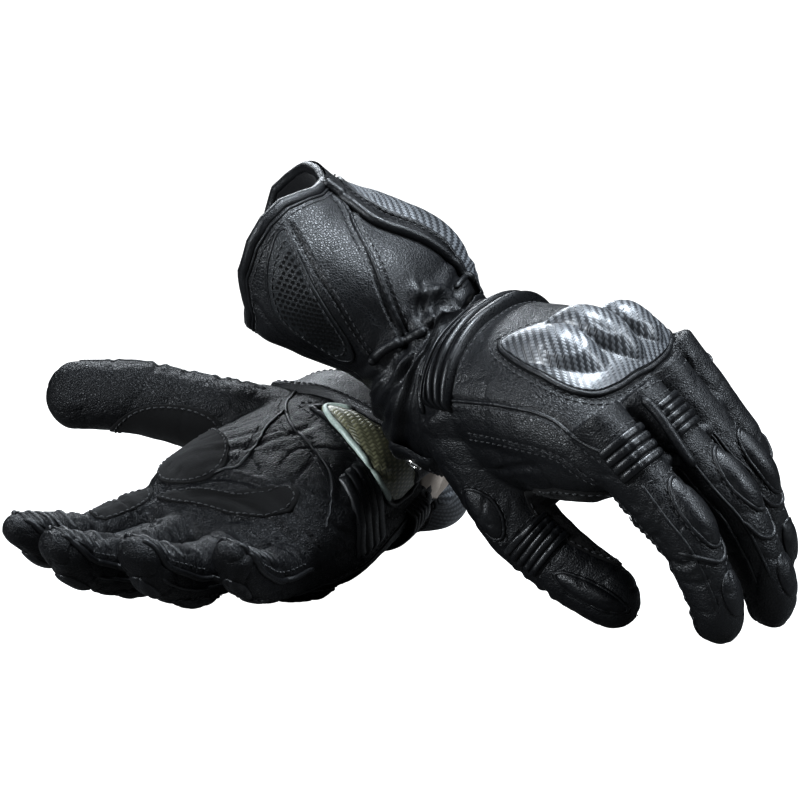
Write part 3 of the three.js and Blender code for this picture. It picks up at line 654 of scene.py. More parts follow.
class Surface:
    """What pieces are laid on: a glove's skin, met along the limb's own outward direction."""

    def __init__(self, glove, objects):
        vertices, polygons = [], []
        for obj in objects:
            base = sum(len(v) for v in vertices)
            vertices.append(coordinates(obj))
            polygons += [tuple(base + i for i in p.vertices) for p in obj.data.polygons]
        self.glove = glove
        self.tree = BVHTree.FromPolygons([Vector(v) for v in np.concatenate(vertices)], polygons)

    def outward(self, limb, s, a):
        g, d = self.glove, 0.7
        ds = g.on(limb, s + d, a) - g.on(limb, s - d, a)
        da = g.on(limb, s, a + 2) - g.on(limb, s, a - 2)
        n = np.cross(ds, da) * g.pose["mirror"]
        return n / np.maximum(np.linalg.norm(n, axis=-1, keepdims=True), 1e-12)

    def lay(self, limb, s, a, lift=0.0):
        """World points lift mm above the skin over (s, a), and the outward directions there."""
        s, a, lift = arrays(s, a, lift)
        shape = s.shape
        s, a, lift = s.ravel(), a.ravel(), lift.ravel()
        base = self.glove.on(limb, s, a)
        n = self.outward(limb, s, a)
        out = np.empty_like(base)
        for i in range(len(base)):
            start = Vector(base[i] + n[i] * REACH / 1000)
            hit = self.tree.ray_cast(start, Vector(-n[i]), 2 * REACH / 1000)[0]
            out[i] = base[i] if hit is None else hit
        return (out + n * lift[:, None] / 1000).reshape(*shape, 3), n.reshape(*shape, 3)


def carve(points, normals, lines):
    """Creases: each line is (world points, width mm, depth mm, lip share). Returns outward movement in mm."""
    move = np.zeros(len(points))
    for line, width, depth, lip in lines:
        reach = width * 4.5 / 1000
        low, high = line.min(0) - reach, line.max(0) + reach
        near = np.where(np.all((points > low) & (points < high), axis=1))[0]
        if not len(near):
            continue
        d = np.full(len(near), 1e9)
        ends = np.minimum(np.arange(len(line)), np.arange(len(line))[::-1])
        fade = np.zeros(len(near))
        for start in range(0, len(near), CHUNK):
            rows = slice(start, start + CHUNK)
            q = ((points[near[rows], None] - line[None]) ** 2).sum(-1)
            k = q.argmin(1)
            d[rows] = np.sqrt(q[np.arange(len(k)), k]) * 1000
            fade[rows] = np.clip(ends[k] / max(len(line) * 0.2, 1), 0, 1)
        fade = smooth(fade, 0, 1) if lip >= 0 else np.ones_like(fade)
        x = d / width
        move[near] += fade * depth * (-np.exp(-x * x) + abs(lip) * np.exp(-(x - 1.9) ** 2 * 1.3))
    return move


TINY = 1e-9  # scales (s, a) to ride along with a line of metres without changing its length
STITCH, GAP, THREAD_WIDTH = 2.3, 1.1, 0.33  # mm
# a stitch from end to end: place, width and dip as shares
LOZENGE = ((-1, 0.35, 0.5), (-0.6, 0.9, 0.0), (0, 1.0, -0.2), (0.6, 0.9, 0.0), (1, 0.35, 0.5))


class Kit:
    """Collects a glove's pieces, gives each its body and its material, and hides the CAD parts it stands for.
    """

    def __init__(self, glove):
        self.glove, self.side = glove, glove.side
        self.hand = self.side + "_hand"
        self.surface = None
        self.threads = {}
        self.hand_piece = self.last = None

    def name(self, part):
        return f"{self.side}_{part}_visual"

    def body(self, obj, body):
        """hand, flap, strap or a limb; a piece on a limb, given as '~' and the limb's name, only has its
        transform baked and is attached to no body.
        """
        if body == "hand":
            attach(obj, self.hand)
        elif body.startswith("~"):
            limb = body[1:]
            start, end = (THUMB_FREE, THUMB_JOINT + 12) if limb == "thumb" else (FREE, FREE + 20)
            line = self.glove.limbs[limb]
            a, b = (self.glove.world(line.frames(np.array(float(x)))[0]) for x in (start, end))
            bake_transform(obj)
        else:
            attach(obj, f"{self.side}_{body}")

    def finish(self, obj, body, surface, replaces=(), fill=None, slot=None):
        points = coordinates(obj)
        points[:, 2] = np.maximum(points[:, 2], 0.0001)
        set_coordinates(obj, points)
        obj.data.materials.clear()
        obj.data.materials.append(surface)
        self.last = obj
        self.body(obj, body)
        if replaces:
            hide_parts(*[f"{self.side}_{r}" for r in replaces])
        return obj

    def facing(self, points, normals, faces):
        """The faces of a grid, turned to look along normals."""
        rows, columns = points.shape[:2]
        i, j = rows // 2, columns // 2
        face = np.cross(points[i, j + 1] - points[i, j], points[i + 1, j] - points[i, j])
        return faces if face @ normals[i, j] > 0 else [f[::-1] for f in faces]

    def sheet(self, part, points, normals, surface, body="hand", replaces=(), fill=None, closed=False):
        """A grid of points as a piece that looks along normals."""
        faces = self.facing(points, normals, grid_faces(*points.shape[:2], closed))
        obj = new_object(self.name(part), points.reshape(-1, 3), faces)
        return self.finish(obj, body, surface, replaces, fill)

    def patch(self, part, limb, outline, height, surface=SMOOTH_HIDE, body="hand", rings=14, step=1.1,
              replaces=(), fill=None, edge=1.0, flat=False):
        """A piece over a rounded outline of (s, a), or (s, y) where flat.

        height(f, u, v) is in mm at a place, and f is 1 at the rim."""
        line = even(curve(outline, closed=True, steps=16), step if flat else step * 1.6, closed=True)
        middle = line.mean(0)
        f = np.concatenate([[1.0, 1.0], 1 - (np.arange(1, rings + 1) / rings) ** 1.4 * 0.999])
        uv = middle + (line[None] - middle) * f[:, None, None]
        s, v = uv[..., 0], uv[..., 1]
        a = self.glove_angle(limb, s, v) if flat else v
        h = height(np.broadcast_to(f[:, None], s.shape), s, v)
        h[0] = -0.7
        h[1] = np.minimum(h[1], edge)
        points, normals = self.surface.lay(limb, s, a, h)
        rows, columns = s.shape
        faces = grid_faces(rows, columns, closed=True)
        faces.append(tuple((rows - 1) * columns + j for j in range(columns)))
        obj = new_object(self.name(part), points.reshape(-1, 3), self.facing(points, normals, faces))
        for label, values in (("weave_u", s), ("weave_v", v if flat else v * 0.45)):
            attribute = obj.data.attributes.new(label, "FLOAT", "POINT")
            attribute.data.foreach_set("value", values.astype(np.float32).ravel())
        self.finish(obj, body, surface, replaces, fill)
        if flat:
            line = np.stack([line[:, 0], self.glove_angle(limb, line[:, 0], line[:, 1])], 1)
        return line

    def glove_angle(self, limb, s, y):
        """The angle at which a place on the back lies y mm to the side."""
        w, _ = self.glove.limbs[limb].size(s)
        p = self.glove.limbs[limb].power
        return np.degrees(np.arcsin(np.clip(np.abs(y) / w, 0, 0.999) ** (p / 2))) * np.sign(y)

    def grid(self, part, limb, s, a, h, surface, body="hand", replaces=(), fill=None):
        """A piece from a grid of places (s, a) and heights h in mm."""
        points, normals = self.surface.lay(limb, s, a)
        plain = self.glove.on(limb, s, a)
        rise = ((points - plain) * normals).sum(-1)
        for _ in range(12):
            wide = np.pad(rise, 1, mode="edge")
            beside = wide[:-2, 1:-1] + wide[2:, 1:-1] + wide[1:-1, :-2] + wide[1:-1, 2:]
            rise = (beside + rise) / 5
        points = plain + normals * (rise + h / 1000)[..., None]
        return self.sheet(part, points, normals, surface, body, replaces, fill)

    def line(self, limb, control, lift=0.0, step=1.0, closed=False):
        """A line over the skin through (s, a) places, even in length, with outward directions."""
        flat = curve(control, closed)
        rough = self.glove.on(limb, flat[:, 0], flat[:, 1])
        both = even(np.concatenate([rough, flat * TINY], axis=1), step / 1000, closed)
        sa = both[:, 3:] / TINY
        return self.surface.lay(limb, sa[:, 0], sa[:, 1], lift)

    def rod(self, part, limb, control, radius, body="hand", surface=SMOOTH_HIDE, lift=0.0, closed=False,
            tall=1.0, replaces=(), slot=None):
        """A welt or piping along a line; radius in mm, tall is its height as a share of its width."""
        points, normals = self.line(limb, control, lift, 0.8, closed)
        self.tube(part, points, normals, radius, body, surface, closed, tall, replaces, slot=slot)

    def tube(self, part, points, normals, radius, body="hand", surface=SMOOTH_HIDE, closed=False, tall=1.0,
             replaces=(), sides=10, slot=None):
        n = len(points)
        ahead = np.roll(points, -1, 0) - np.roll(points, 1, 0)
        if not closed:
            ahead[0], ahead[-1] = points[1] - points[0], points[-1] - points[-2]
        ahead /= np.linalg.norm(ahead, axis=1, keepdims=True)
        across = np.cross(normals, ahead)
        across /= np.maximum(np.linalg.norm(across, axis=1, keepdims=True), 1e-9)
        size = np.full(n, radius / 1000)
        if not closed:
            ends = np.minimum(np.arange(n), np.arange(n)[::-1])
            size *= np.sqrt(np.clip((ends + 0.15) / 3.0, 0.05, 1))
        angles = np.linspace(0, 2 * np.pi, sides, endpoint=False)
        cosine, sine = np.cos(angles)[None, :, None], np.sin(angles)[None, :, None]
        ring = cosine * across[:, None] + sine * tall * normals[:, None]
        vertices = points[:, None] + ring * size[:, None, None]
        if closed:
            faces = grid_faces(n, sides, closed=True)
            top = (n - 1) * sides
            faces += [(top + j, top + (j + 1) % sides, (j + 1) % sides, j) for j in range(sides)]
            vertices = vertices.reshape(-1, 3)
        else:
            vertices, faces = closed_tube(vertices)
        obj = new_object(self.name(part), vertices, [f[::-1] for f in faces])
        self.finish(obj, body, surface, replaces, slot=slot)

    def stitch(self, limb, control, body="hand", lift=0.15, closed=False):
        """A row of stitches over the skin; all rows of one body become one mesh at the end."""
        points, normals = self.line(limb, control, lift, (STITCH + GAP) / 2, closed)
        self.stitch_on(points, normals, body)

    def stitch_on(self, points, normals, body):
        share = STITCH / (STITCH + GAP)
        for i in range(0, len(points) - 2, 2):
            a, c = points[i], points[i + 2]
            if np.linalg.norm(c - a) > 0.0016 * (STITCH + GAP):
                continue
            middle, half, n = (a + c) / 2, (c - a) / 2 * share, normals[i + 1]
            across = np.cross(n, half)
            across /= max(np.linalg.norm(across), 1e-9)
            self.threads.setdefault(body, []).append((middle, half, across, n, THREAD_WIDTH / 1000))

    def sew(self, surface):
        """Make the stitches: each a slim lozenge of thread that dips in at its ends."""
        for body, rows in self.threads.items():
            vertices, faces = [], []
            for middle, half, across, n, r in rows:
                base = len(vertices)
                for t, size, dip in LOZENGE:
                    for k in range(6):
                        w = math.pi / 3 * k
                        vertices.append(middle + half * t + across * (math.cos(w) * r * size)
                                        + n * (math.sin(w) * r * size - dip * r))
                faces += [tuple(base + i for i in f) for f in grid_faces(5, 6, closed=True)]
                faces.append(tuple(base + i for i in range(5, -1, -1)))
                faces.append(tuple(base + 24 + i for i in range(6)))
            obj = new_object(self.name("stitching_" + body.strip("~")), vertices, faces)
            self.finish(obj, body, surface)


# ---------------------------------------------------------------- the glove's pieces
SIDES = np.arange(0, 360, 2.0)
BACK_SWELL = 7.0
MOUTH = -126


def crease_lines(glove, creases):
    """World lines with width, depth and lip, of creases given as (limb, width, depth, lip, *places)."""
    out = []
    for limb, width, depth, lip, *control in creases:
        flat = curve(control)
        out.append((even(glove.on(limb, flat[:, 0], flat[:, 1]), 0.0012), width, depth, lip))
    return out


FOLDS = {
    "both": [
        # seams that sink into the leather
        ("trunk", 1.1, 0.9, -0.3, (2, 293), (24, 297), (48, 301), (68, 301), (82, 290), (92, 278)),
        ("trunk", 0.8, 0.5, -0.3, (24, 276), (48, 279), (68, 278), (79, 270), (87, 258)),
        # valleys between the fingers, on the back
        ("trunk", 2.2, 1.8, 0.4, (84, 334), (97, 338), (108, 340)),
        ("trunk", 2.2, 2.0, 0.4, (86, 8), (98, 8), (108, 8)),
        ("trunk", 2.2, 1.8, 0.4, (84, 36), (96, 38), (106, 40)),
        # creases across the palm side of each finger
        *[(f, 1.7, 1.0, 0.6, (s, 120), (s + 1.5, 180), (s, 240))
          for f, places in (("index", (24, 47, 51, 73)), ("middle", (26, 51, 55, 79)),
                            ("ring", (24, 47, 51, 74)), ("little", (20, 37, 41, 58))) for s in places],
        ("thumb", 1.8, 1.0, 0.6, (70, 130), (71, 180), (70, 230)),
        ("thumb", 1.5, 0.7, 0.6, (58, 130), (57, 180), (58, 240)),
        # the palm's own lines
        ("trunk", 2.2, 0.7, 0.3, (84, 232), (74, 205), (60, 186), (38, 178), (18, 180)),
        ("trunk", 1.9, 1.2, 0.6, (92, 205), (82, 180), (82, 150), (88, 125)),
        ("trunk", 1.8, 0.9, 0.5, (96, 200), (90, 172), (92, 140), (95, 120)),
        ("trunk", 1.6, 0.8, 0.6, (70, 150), (60, 128), (52, 105)),
        ("trunk", 1.6, 0.8, 0.6, (76, 140), (72, 118), (62, 96)),
    ],
    "left": [
        ("index", 1.3, 0.6, 0.5, (24, 300), (28, 270), (25, 240)),
        ("index", 1.3, 0.6, 0.5, (33, 300), (38, 270), (36, 240)),
        ("index", 1.5, 0.8, 0.5, (50, 310), (54, 280), (50, 245)),
        ("index", 1.2, 0.5, 0.5, (61, 330), (63, 290), (60, 250)),
        ("thumb", 1.4, 0.6, 0.5, (46, 230), (49, 262), (46, 300)),
        ("trunk", 1.6, 0.8, 0.6, (44, 245), (56, 240), (70, 236)),
        ("trunk", 1.6, 0.8, 0.6, (30, 250), (46, 262), (60, 268)),
    ],
    "right": [
        ("trunk", 1.5, 0.4, 0.3, (84, 215), (76, 200), (70, 190)),
        ("trunk", 1.4, 0.4, 0.3, (66, 206), (56, 196), (46, 190)),
        ("trunk", 1.4, 0.7, 0.6, (98, 222), (94, 208), (96, 190)),
        ("trunk", 1.5, 0.8, 0.6, (40, 150), (34, 128), (24, 112)),
        ("trunk", 1.5, 0.8, 0.6, (100, 175), (94, 160), (96, 142)),
        ("trunk", 0.9, 1.5, 0.5, (107, 143), (102, 140), (95, 138)),
        ("trunk", 0.9, 1.5, 0.5, (84, 129), (84, 117), (83, 105)),
        ("thumb", 1.6, 0.9, 0.6, (34, 190), (40, 170), (38, 150)),
        ("thumb", 1.4, 0.7, 0.6, (24, 196), (29, 172), (27, 150)),
        ("thumb", 1.4, 0.6, 0.6, (88, 190), (90, 170), (88, 140)),
    ],
}


def make_hand(kit):
    """The hand, finger and thumb leather: one skin, creased, then parted where bodies meet."""
    glove = kit.glove
    skin = hand_skin(glove)
    points, normals = coordinates(skin), vertex_normals(skin)
    names, s, a, gap = limb_coordinates(glove, points)
    nearest = gap.argmin(0)
    trunk = names.index("trunk")
    palm = 0.5 - 0.5 * np.cos(np.radians(a[trunk]))
    mm = points * 1000
    grainy = lattice(mm / 19, 3) * 0.55 + lattice(mm / 8, 5) * 0.32 + lattice(mm / 3.6, 7) * 0.11
    crumple = np.abs(lattice(mm / 11 + lattice(mm / 20, 9)[:, None] * 0.6, 11)) ** 0.7
    move = grainy * (0.55 + 0.35 * palm) - (1 - crumple) ** 6 * (0.35 + 0.45 * palm)
    if kit.side == "right":
        # empty fingers crumple more
        move *= 1 + 0.9 * smooth(s[1:5].max(0) * (nearest > 0), 8, 24)
    # the back swells under the wrist ribs and over the knuckles
    on_trunk = smooth(gap[trunk], 12, 2)
    back = np.clip(np.cos(np.radians(a[trunk])), 0, 1) ** 0.6
    move += on_trunk * back * BACK_SWELL * smooth(s[trunk], -16, 4) * (1 - smooth(s[trunk], 48, 84))
    move += carve(points, normals, crease_lines(glove, FOLDS["both"] + FOLDS[kit.side]))
    set_coordinates(skin, points + normals * move[:, None] / 1000)

    # part it: a vertex belongs to a finger beyond FREE, to the thumb's tip beyond THUMB_FREE
    polygons = [tuple(p.vertices) for p in skin.data.polygons]
    owner = np.zeros(len(points), int)
    for k, name in enumerate(names[1:], 1):
        limit = THUMB_FREE if name == "thumb" else FREE
        owner[(nearest == k) & (s[k] > limit)] = k
    part_of = []
    for polygon in polygons:
        owners = list(owner[list(polygon)])
        part_of.append(max(owners, key=owners.count))
    moved, shade = coordinates(skin), vertex_normals(skin)
    kit.surface = kit.hand_surface = Surface(glove, [skin])
    hide = PALM_HIDE if kit.side == "right" else HIDE
    for k, name in enumerate(names):
        faces = [p for p, o in zip(polygons, part_of) if o == k]
        used = np.unique(np.concatenate([np.array(f) for f in faces]))
        order = {v: i for i, v in enumerate(used)}
        obj = new_object(kit.name(("hand" if name == "trunk" else name) + "_leather"), moved[used],
                         [tuple(order[v] for v in f) for f in faces])
        obj.data.normals_split_custom_set_from_vertices([Vector(v) for v in shade[used]])
        if name == "trunk":
            kit.hand_piece = kit.finish(obj, "hand", hide, ("back_of_hand", "palm", "thumb_sleeve"))
        else:
            kit.finish(obj, "~" + name, hide, ("thumb_tip" if name == "thumb" else name + "_finger",))
    bpy.data.objects.remove(skin)


def cuff_move(s, a, points):
    """How far the cuff's leather stands off its plain form, mm: crumpled at the wrist, full at the mouth."""
    mm = points.reshape(-1, 3) * 1000
    n1, n2, n3 = (lattice(mm / size, seed).reshape(s.shape) for size, seed in ((30, 21), (12, 23), (5, 25)))
    crushed = smooth(s, -66, -34) * (1 - smooth(s, -16, -6))
    rows = np.cos(2 * np.pi * (s / 13 + 1.1 * n1 + 0.25 * np.sin(np.radians(a * 2 + 40))))
    ridge = 1.9 * (0.5 + 0.5 * rows) ** 0.8 - 1.4
    out = crushed * (ridge * (1.1 + 0.8 * n1) + 0.9 * n2)
    out += n1 * 1.1 + n2 * 0.35 + n3 * 0.10
    strap_hollow = 2.2 * np.exp(-((s + 14) / 9) ** 2) * np.clip(-np.cos(np.radians(a)), 0, 1)
    return out - strap_hollow


CUFF_SEAMS = [
    (1.0, 1.1, -0.2, (-114, 10), (-91, -7), (-69, -23), (-43, -37)),
    (1.0, 1.1, -0.2, (-119, 5), (-110, 2), (-91, -14), (-70, -29), (-45, -43)),
    (1.2, 1.1, -0.3, (-117, 321), (-99, 309), (-79, 302), (-58, 290), (-46, 284)),
    (1.2, 1.0, -0.3, (-118, 262), (-95, 254), (-70, 250), (-50, 252)),
    (1.2, 0.8, -0.3, (-121, 90), (-90, 110), (-60, 120), (-40, 124)),
    (1.2, 0.8, -0.3, (-121, 180), (-90, 180), (-60, 180), (-30, 180)),
    # rolled folds where the cuff meets the wrist
    (3.6, -4.6, 0, (-58, 338), (-54, 352), (-47, 361), (-38, 360), (-32, 350), (-29, 334), (-28, 318)),
    (2.6, -3.4, 0, (-48, 330), (-42, 343), (-36, 345), (-32, 334), (-31, 318), (-34, 300)),
    (2.6, -3.0, 0, (-42, 314), (-35, 298), (-30, 278), (-30, 254)),
    (2.2, -2.6, 0, (-27, 352), (-23, 334), (-22, 312), (-24, 290)),
    (2.6, -2.8, 0, (-38, 290), (-40, 268), (-37, 246), (-32, 226)),
    (2.4, -2.8, 0, (-38, 24), (-33, 10), (-27, 2), (-21, 348)),
    (1.6, 1.1, 0.4, (-46, 40), (-47, 22), (-44, 4), (-36, 350), (-28, 335)),
    (2.4, 2.2, 0.6, (-58, 358), (-50, 345), (-44, 338), (-34, 336)),
    (2.2, 2.0, 0.6, (-44, 352), (-36, 340), (-26, 326), (-20, 312)),
    (2.0, 1.6, 0.6, (-52, 330), (-44, 316), (-38, 300)),
    (1.8, 1.4, 0.6, (-34, 10), (-30, 352), (-20, 336)),
]


def make_cuff(kit):
    glove = kit.glove
    s, a = np.meshgrid(np.arange(MOUTH, 6.1, 1.3), SIDES, indexing="ij")
    plain, n = glove.on("trunk", s, a), kit.surface.outward("trunk", s, a)
    move = cuff_move(s, a, plain) - 3.5 * smooth(s, -3, 5)
    lines = crease_lines(glove, [("trunk", *seam) for seam in CUFF_SEAMS])
    move += carve(plain.reshape(-1, 3), n.reshape(-1, 3), lines).reshape(s.shape)
    points = plain + n * move[..., None] / 1000
    outer = kit.sheet("cuff_leather", points, n, CUFF_HIDE, replaces=("cuff_shell",), closed=True)
    # the lining: the same form drawn in, from the rolled rim down to the wrist
    inside = plain + n * (move * 0.4 - 3.4)[..., None] / 1000
    inside[0] = points[0]
    kit.sheet("cuff_facing", inside, -n, CLOTH, replaces=("cuff_lining",), closed=True)
    # a leather facing just inside the mouth, with its own stitched edge
    s, a = np.meshgrid(MOUTH + np.linspace(0.5, 17, 12), SIDES, indexing="ij")
    out = kit.surface.outward("trunk", s, a)
    facing = glove.on("trunk", s, a) - out * 0.0026
    facing[-1] -= out[-1] * 0.0009
    kit.sheet("mouth_facing", facing, -out, HIDE, closed=True)
    kit.stitch_on(facing[-2], -out[-2], "hand")
    # rolled binding round the mouth
    rim = (points[0] + inside[0]) / 2 - n[0] * 0.0012
    kit.tube("mouth_binding", rim, n[0], 2.9, closed=True, tall=0.9, replaces=("cuff_binding",), sides=12)
    kit.cuff_surface = Surface(glove, [outer])
    kit.wrist_skins = [outer, kit.hand_piece]


def rounded(edge, crown, power=3.0):
    return lambda f, u, v: edge + crown * (1 - f ** power)


def turns(count):
    return np.linspace(0, 2 * math.pi, count, endpoint=False)


def circle(centre, normal, tilt, radius, count):
    """Points round a centre, radius in mm, across normal; tilt only sets where they start."""
    u = np.cross(normal, tilt)
    u /= np.linalg.norm(u)
    w = np.cross(normal, u)
    return [centre + (u * math.cos(t) + w * math.sin(t)) * radius / 1000 for t in turns(count)]


def inside_outline(outline, x, y):
    hit = False
    for (x0, y0), (x1, y1) in zip(outline, np.roll(outline, -1, 0)):
        if (y0 > y) != (y1 > y) and x < (x1 - x0) * (y - y0) / (y1 - y0) + x0:
            hit = not hit
    return hit


def make_vent(kit):
    """The vented panel on the thumb side of the cuff, with its holes."""
    outline = [(-118, 315), (-117, 297), (-114, 280), (-109, 270), (-101, 266), (-83, 264), (-65, 262),
               (-58, 268), (-59, 277), (-70, 286), (-83, 293), (-101, 302)]
    line = kit.patch("vent_panel", "trunk", outline, rounded(0.8, 0.8), VENT_HIDE,
                     replaces=("cuff_vent_panel",), rings=10)
    panel_top = Surface(kit.glove, [kit.last])
    kit.rod("vent_panel_piping", "trunk", line[::6], 0.9, closed=True, lift=0.3, slot="piping")
    kit.stitch("trunk", scaled(line, 0.86)[::8], lift=1.5, closed=True)
    # each hole is a shallow dark dish laid on the panel: painted shadow for the hole's depth
    vertices, faces = [], []
    hull = scaled(line, 0.76)
    for i, s in enumerate(np.arange(-118, -56, 2.4)):
        for a in np.arange(256, 318, 3.6):
            b = a + (1.8 if i % 2 else 0)
            if inside_outline(hull, s, b):
                p, n = panel_top.lay("trunk", s, b, 0.22)
                base = len(vertices)
                for radius, rise in ((0.82, 0.12), (0.5, 0.0)):
                    vertices += circle(p + n * rise / 1000, n, (0.3, 0.2, 0.9), radius, 8)
                faces += [tuple(base + q for q in f) for f in grid_faces(2, 8, True)]
                faces.append(tuple(base + 8 + q for q in range(8)))
    kit.finish(new_object(kit.name("vent_holes"), vertices, faces), "hand", HOLE_SHADOW)


def make_cuff_seams(kit):
    round_mouth = range(0, 360, 20)
    kit.rod("cuff_hem", "trunk", [(-50, 280), (-49, 300), (-44, 322), (-40, 334)], 2.4, lift=0.6)
    # double seam down the back of the cuff
    kit.rod("cuff_seam_a", "trunk", [(-120, 10), (-112, 7), (-91, -10), (-69, -26), (-42, -40)], 1.1,
            lift=-0.1)
    for row in (
        [(-112, 13), (-91, -4), (-69, -20), (-44, -34)],
        [(-118, 2), (-108, -1), (-90, -17), (-70, -32), (-46, -46)],
        [(-116, 319), (-99, 307), (-79, 300), (-58, 288), (-47, 282)],
        [(-116, 324), (-99, 312), (-79, 305), (-58, 293), (-47, 287)],
        [(-120, 86), (-90, 106), (-60, 116), (-40, 120)],
        [(-120, 176), (-90, 176), (-60, 176), (-30, 176)],
    ):
        kit.stitch("trunk", row)
    kit.stitch("trunk", [(MOUTH + 6, x) for x in round_mouth], closed=True)
    kit.rod("cuff_mouth_seam", "trunk", [(MOUTH + 3.4, x) for x in round_mouth], 0.8, closed=True)


FLAP_EDGE = [(-127, 370), (-117, 371), (-105, 368), (-93, 366), (-80, 370), (-67, 378), (-56, 386),
             (-44, 394)]
FLAP_FAR = 482
FLAP_END = -46


def ripple(u, v, seed):
    """Noise over two grids of values."""
    return lattice(np.stack([u.ravel(), v.ravel(), u.ravel() * 0], 1), seed).reshape(u.shape)


def make_flap(kit):
    """The closing flap over the back of the cuff, its rolled edge, and the hard slider on it."""
    edge = curve(FLAP_EDGE, steps=12)
    places, share = np.linspace(-127.5, FLAP_END, 60), np.linspace(0, 1, 60)
    first = np.interp(places, edge[:, 0], edge[:, 1])
    s = np.broadcast_to(places[:, None], (60, 60))
    a = first[:, None] + (FLAP_FAR - first[:, None]) * share[None]
    lift = 2.4 + 0.9 * np.exp(-share / 0.04)[None] + 0.5 * ripple(s / 9, a / 22, 31)
    end = np.clip((FLAP_END - s) / 4, 0, 1)
    h = lift * np.clip(np.minimum(np.minimum((1 - share) * 18, 1), 0.25 + end), 0, 1)
    kit.grid("flap", "trunk", s, a % 360, h, CUFF_HIDE, "flap", replaces=("cuff_flap",))
    kit.rod("flap_edge", "trunk", FLAP_EDGE, 2.5, "flap", lift=1.4)
    kit.stitch("trunk", [(p, q + 7) for p, q in FLAP_EDGE[1:]], "flap", lift=3.3)
    kit.stitch("trunk", [(p, q + 12) for p, q in FLAP_EDGE[1:-1]], "flap", lift=3.0)
    kit.rod("flap_end", "trunk", [(-46, 12), (-47, 30), (-46, 50), (-48, 80), (-52, 110)], 1.5, "flap",
            lift=0.8)
    outline = [(-114, 36), (-108, 56), (-92, 76), (-70, 78), (-50, 66), (-38, 48), (-52, 38), (-68, 31),
               (-82, 24), (-97, 21), (-109, 25)]

    def dome(f, u, v):
        ridge = np.exp(-((v - 54) / 24) ** 2) * (0.45 + 0.55 * smooth(u, -112, -84))
        return 3.4 + (1 - f ** 3) * (1.0 + 5.2 * ridge)

    line = kit.patch("cuff_slider", "trunk", outline, dome, CARBON, "flap", rings=22,
                     replaces=("cuff_slider",), edge=3.4)
    kit.rod("cuff_slider_welt", "trunk", scaled(line, 1.07)[::6], 1.2, "flap", closed=True, lift=2.6)
    kit.stitch("trunk", scaled(line, 1.16)[::8], "flap", lift=3.0, closed=True)


def ribs(kit, part, limb, start, end, low, high, count, depth, body, replaces=(), base=0.4):
    """Sewn rolls across a limb: start(a) and end(a) bound them along it, low to high degrees round it."""
    share, angle = np.linspace(0, 1, count * 12 + 1), np.arange(low, high + 0.1, 2.0)
    u, a = np.meshgrid(share, angle, indexing="ij")
    s = start(a) + (end(a) - start(a)) * u
    wave = np.sqrt(np.clip(1 - (2 * ((u * count) % 1.0) - 1) ** 2, 0, 1)) ** 0.7
    rim = np.minimum(np.clip((a - low) / 6, 0, 1), np.clip((high - a) / 6, 0, 1)) ** 0.5
    sag = 0.25 * ripple(a / 9, np.floor(u * count) * 3.1, 41)
    h = (base + (depth + sag) * wave) * rim - 0.6 * (1 - rim)
    h[0], h[-1] = -0.5, -0.5
    kit.grid(part, limb, s, a % 360, h, RIB_HIDE, body, replaces, 0.7)
    for gap, edge in ((-1.6, start), (1.6, end)):
        row = [(float(edge(x)) + gap, x) for x in np.arange(low + 4, high - 3, (high - low - 8) / 8)]
        kit.stitch(limb, row, body)


def make_ribs(kit):
    def bow(middle, side):
        """A place that moves from middle, at the back, to side at 64 degrees round."""
        return lambda a: middle + (side - middle) * np.clip(np.abs((a + 180) % 360 - 180) / 64, 0, 1.4) ** 2

    def level(place, slope=0.0):
        return lambda a: place + (a - 80) * slope

    edge = bow(-20, -10)
    ribs(kit, "wrist_ribs", "trunk", bow(-17, -7), bow(12, 14), -74, 84, 5, 3.8, "hand",
         ("wrist_stretch_ribs",), base=1.0)
    kit.rod("wrist_rib_edge", "trunk", [(edge(x), x) for x in range(-80, 81, 16)], 1.5, lift=0.6)
    for name, start, end, low, high, count, depth in (
        ("index", -3, 14, -80, 30, 4, 2.0),
        ("middle", -6, 11, -48, 46, 5, 1.9),
        ("thumb", 47, 64, -126, -24, 5, 1.7 if kit.side == "left" else 0.7),
    ):
        ribs(kit, name + "_ribs", name, level(start), level(end), low, high, count, depth, "~" + name,
             (name + "_stretch_ribs",))
    ribs(kit, "edge_ribs", "trunk", level(62, -0.15), level(38, -0.1), 78, 142, 4, 1.4, "hand")


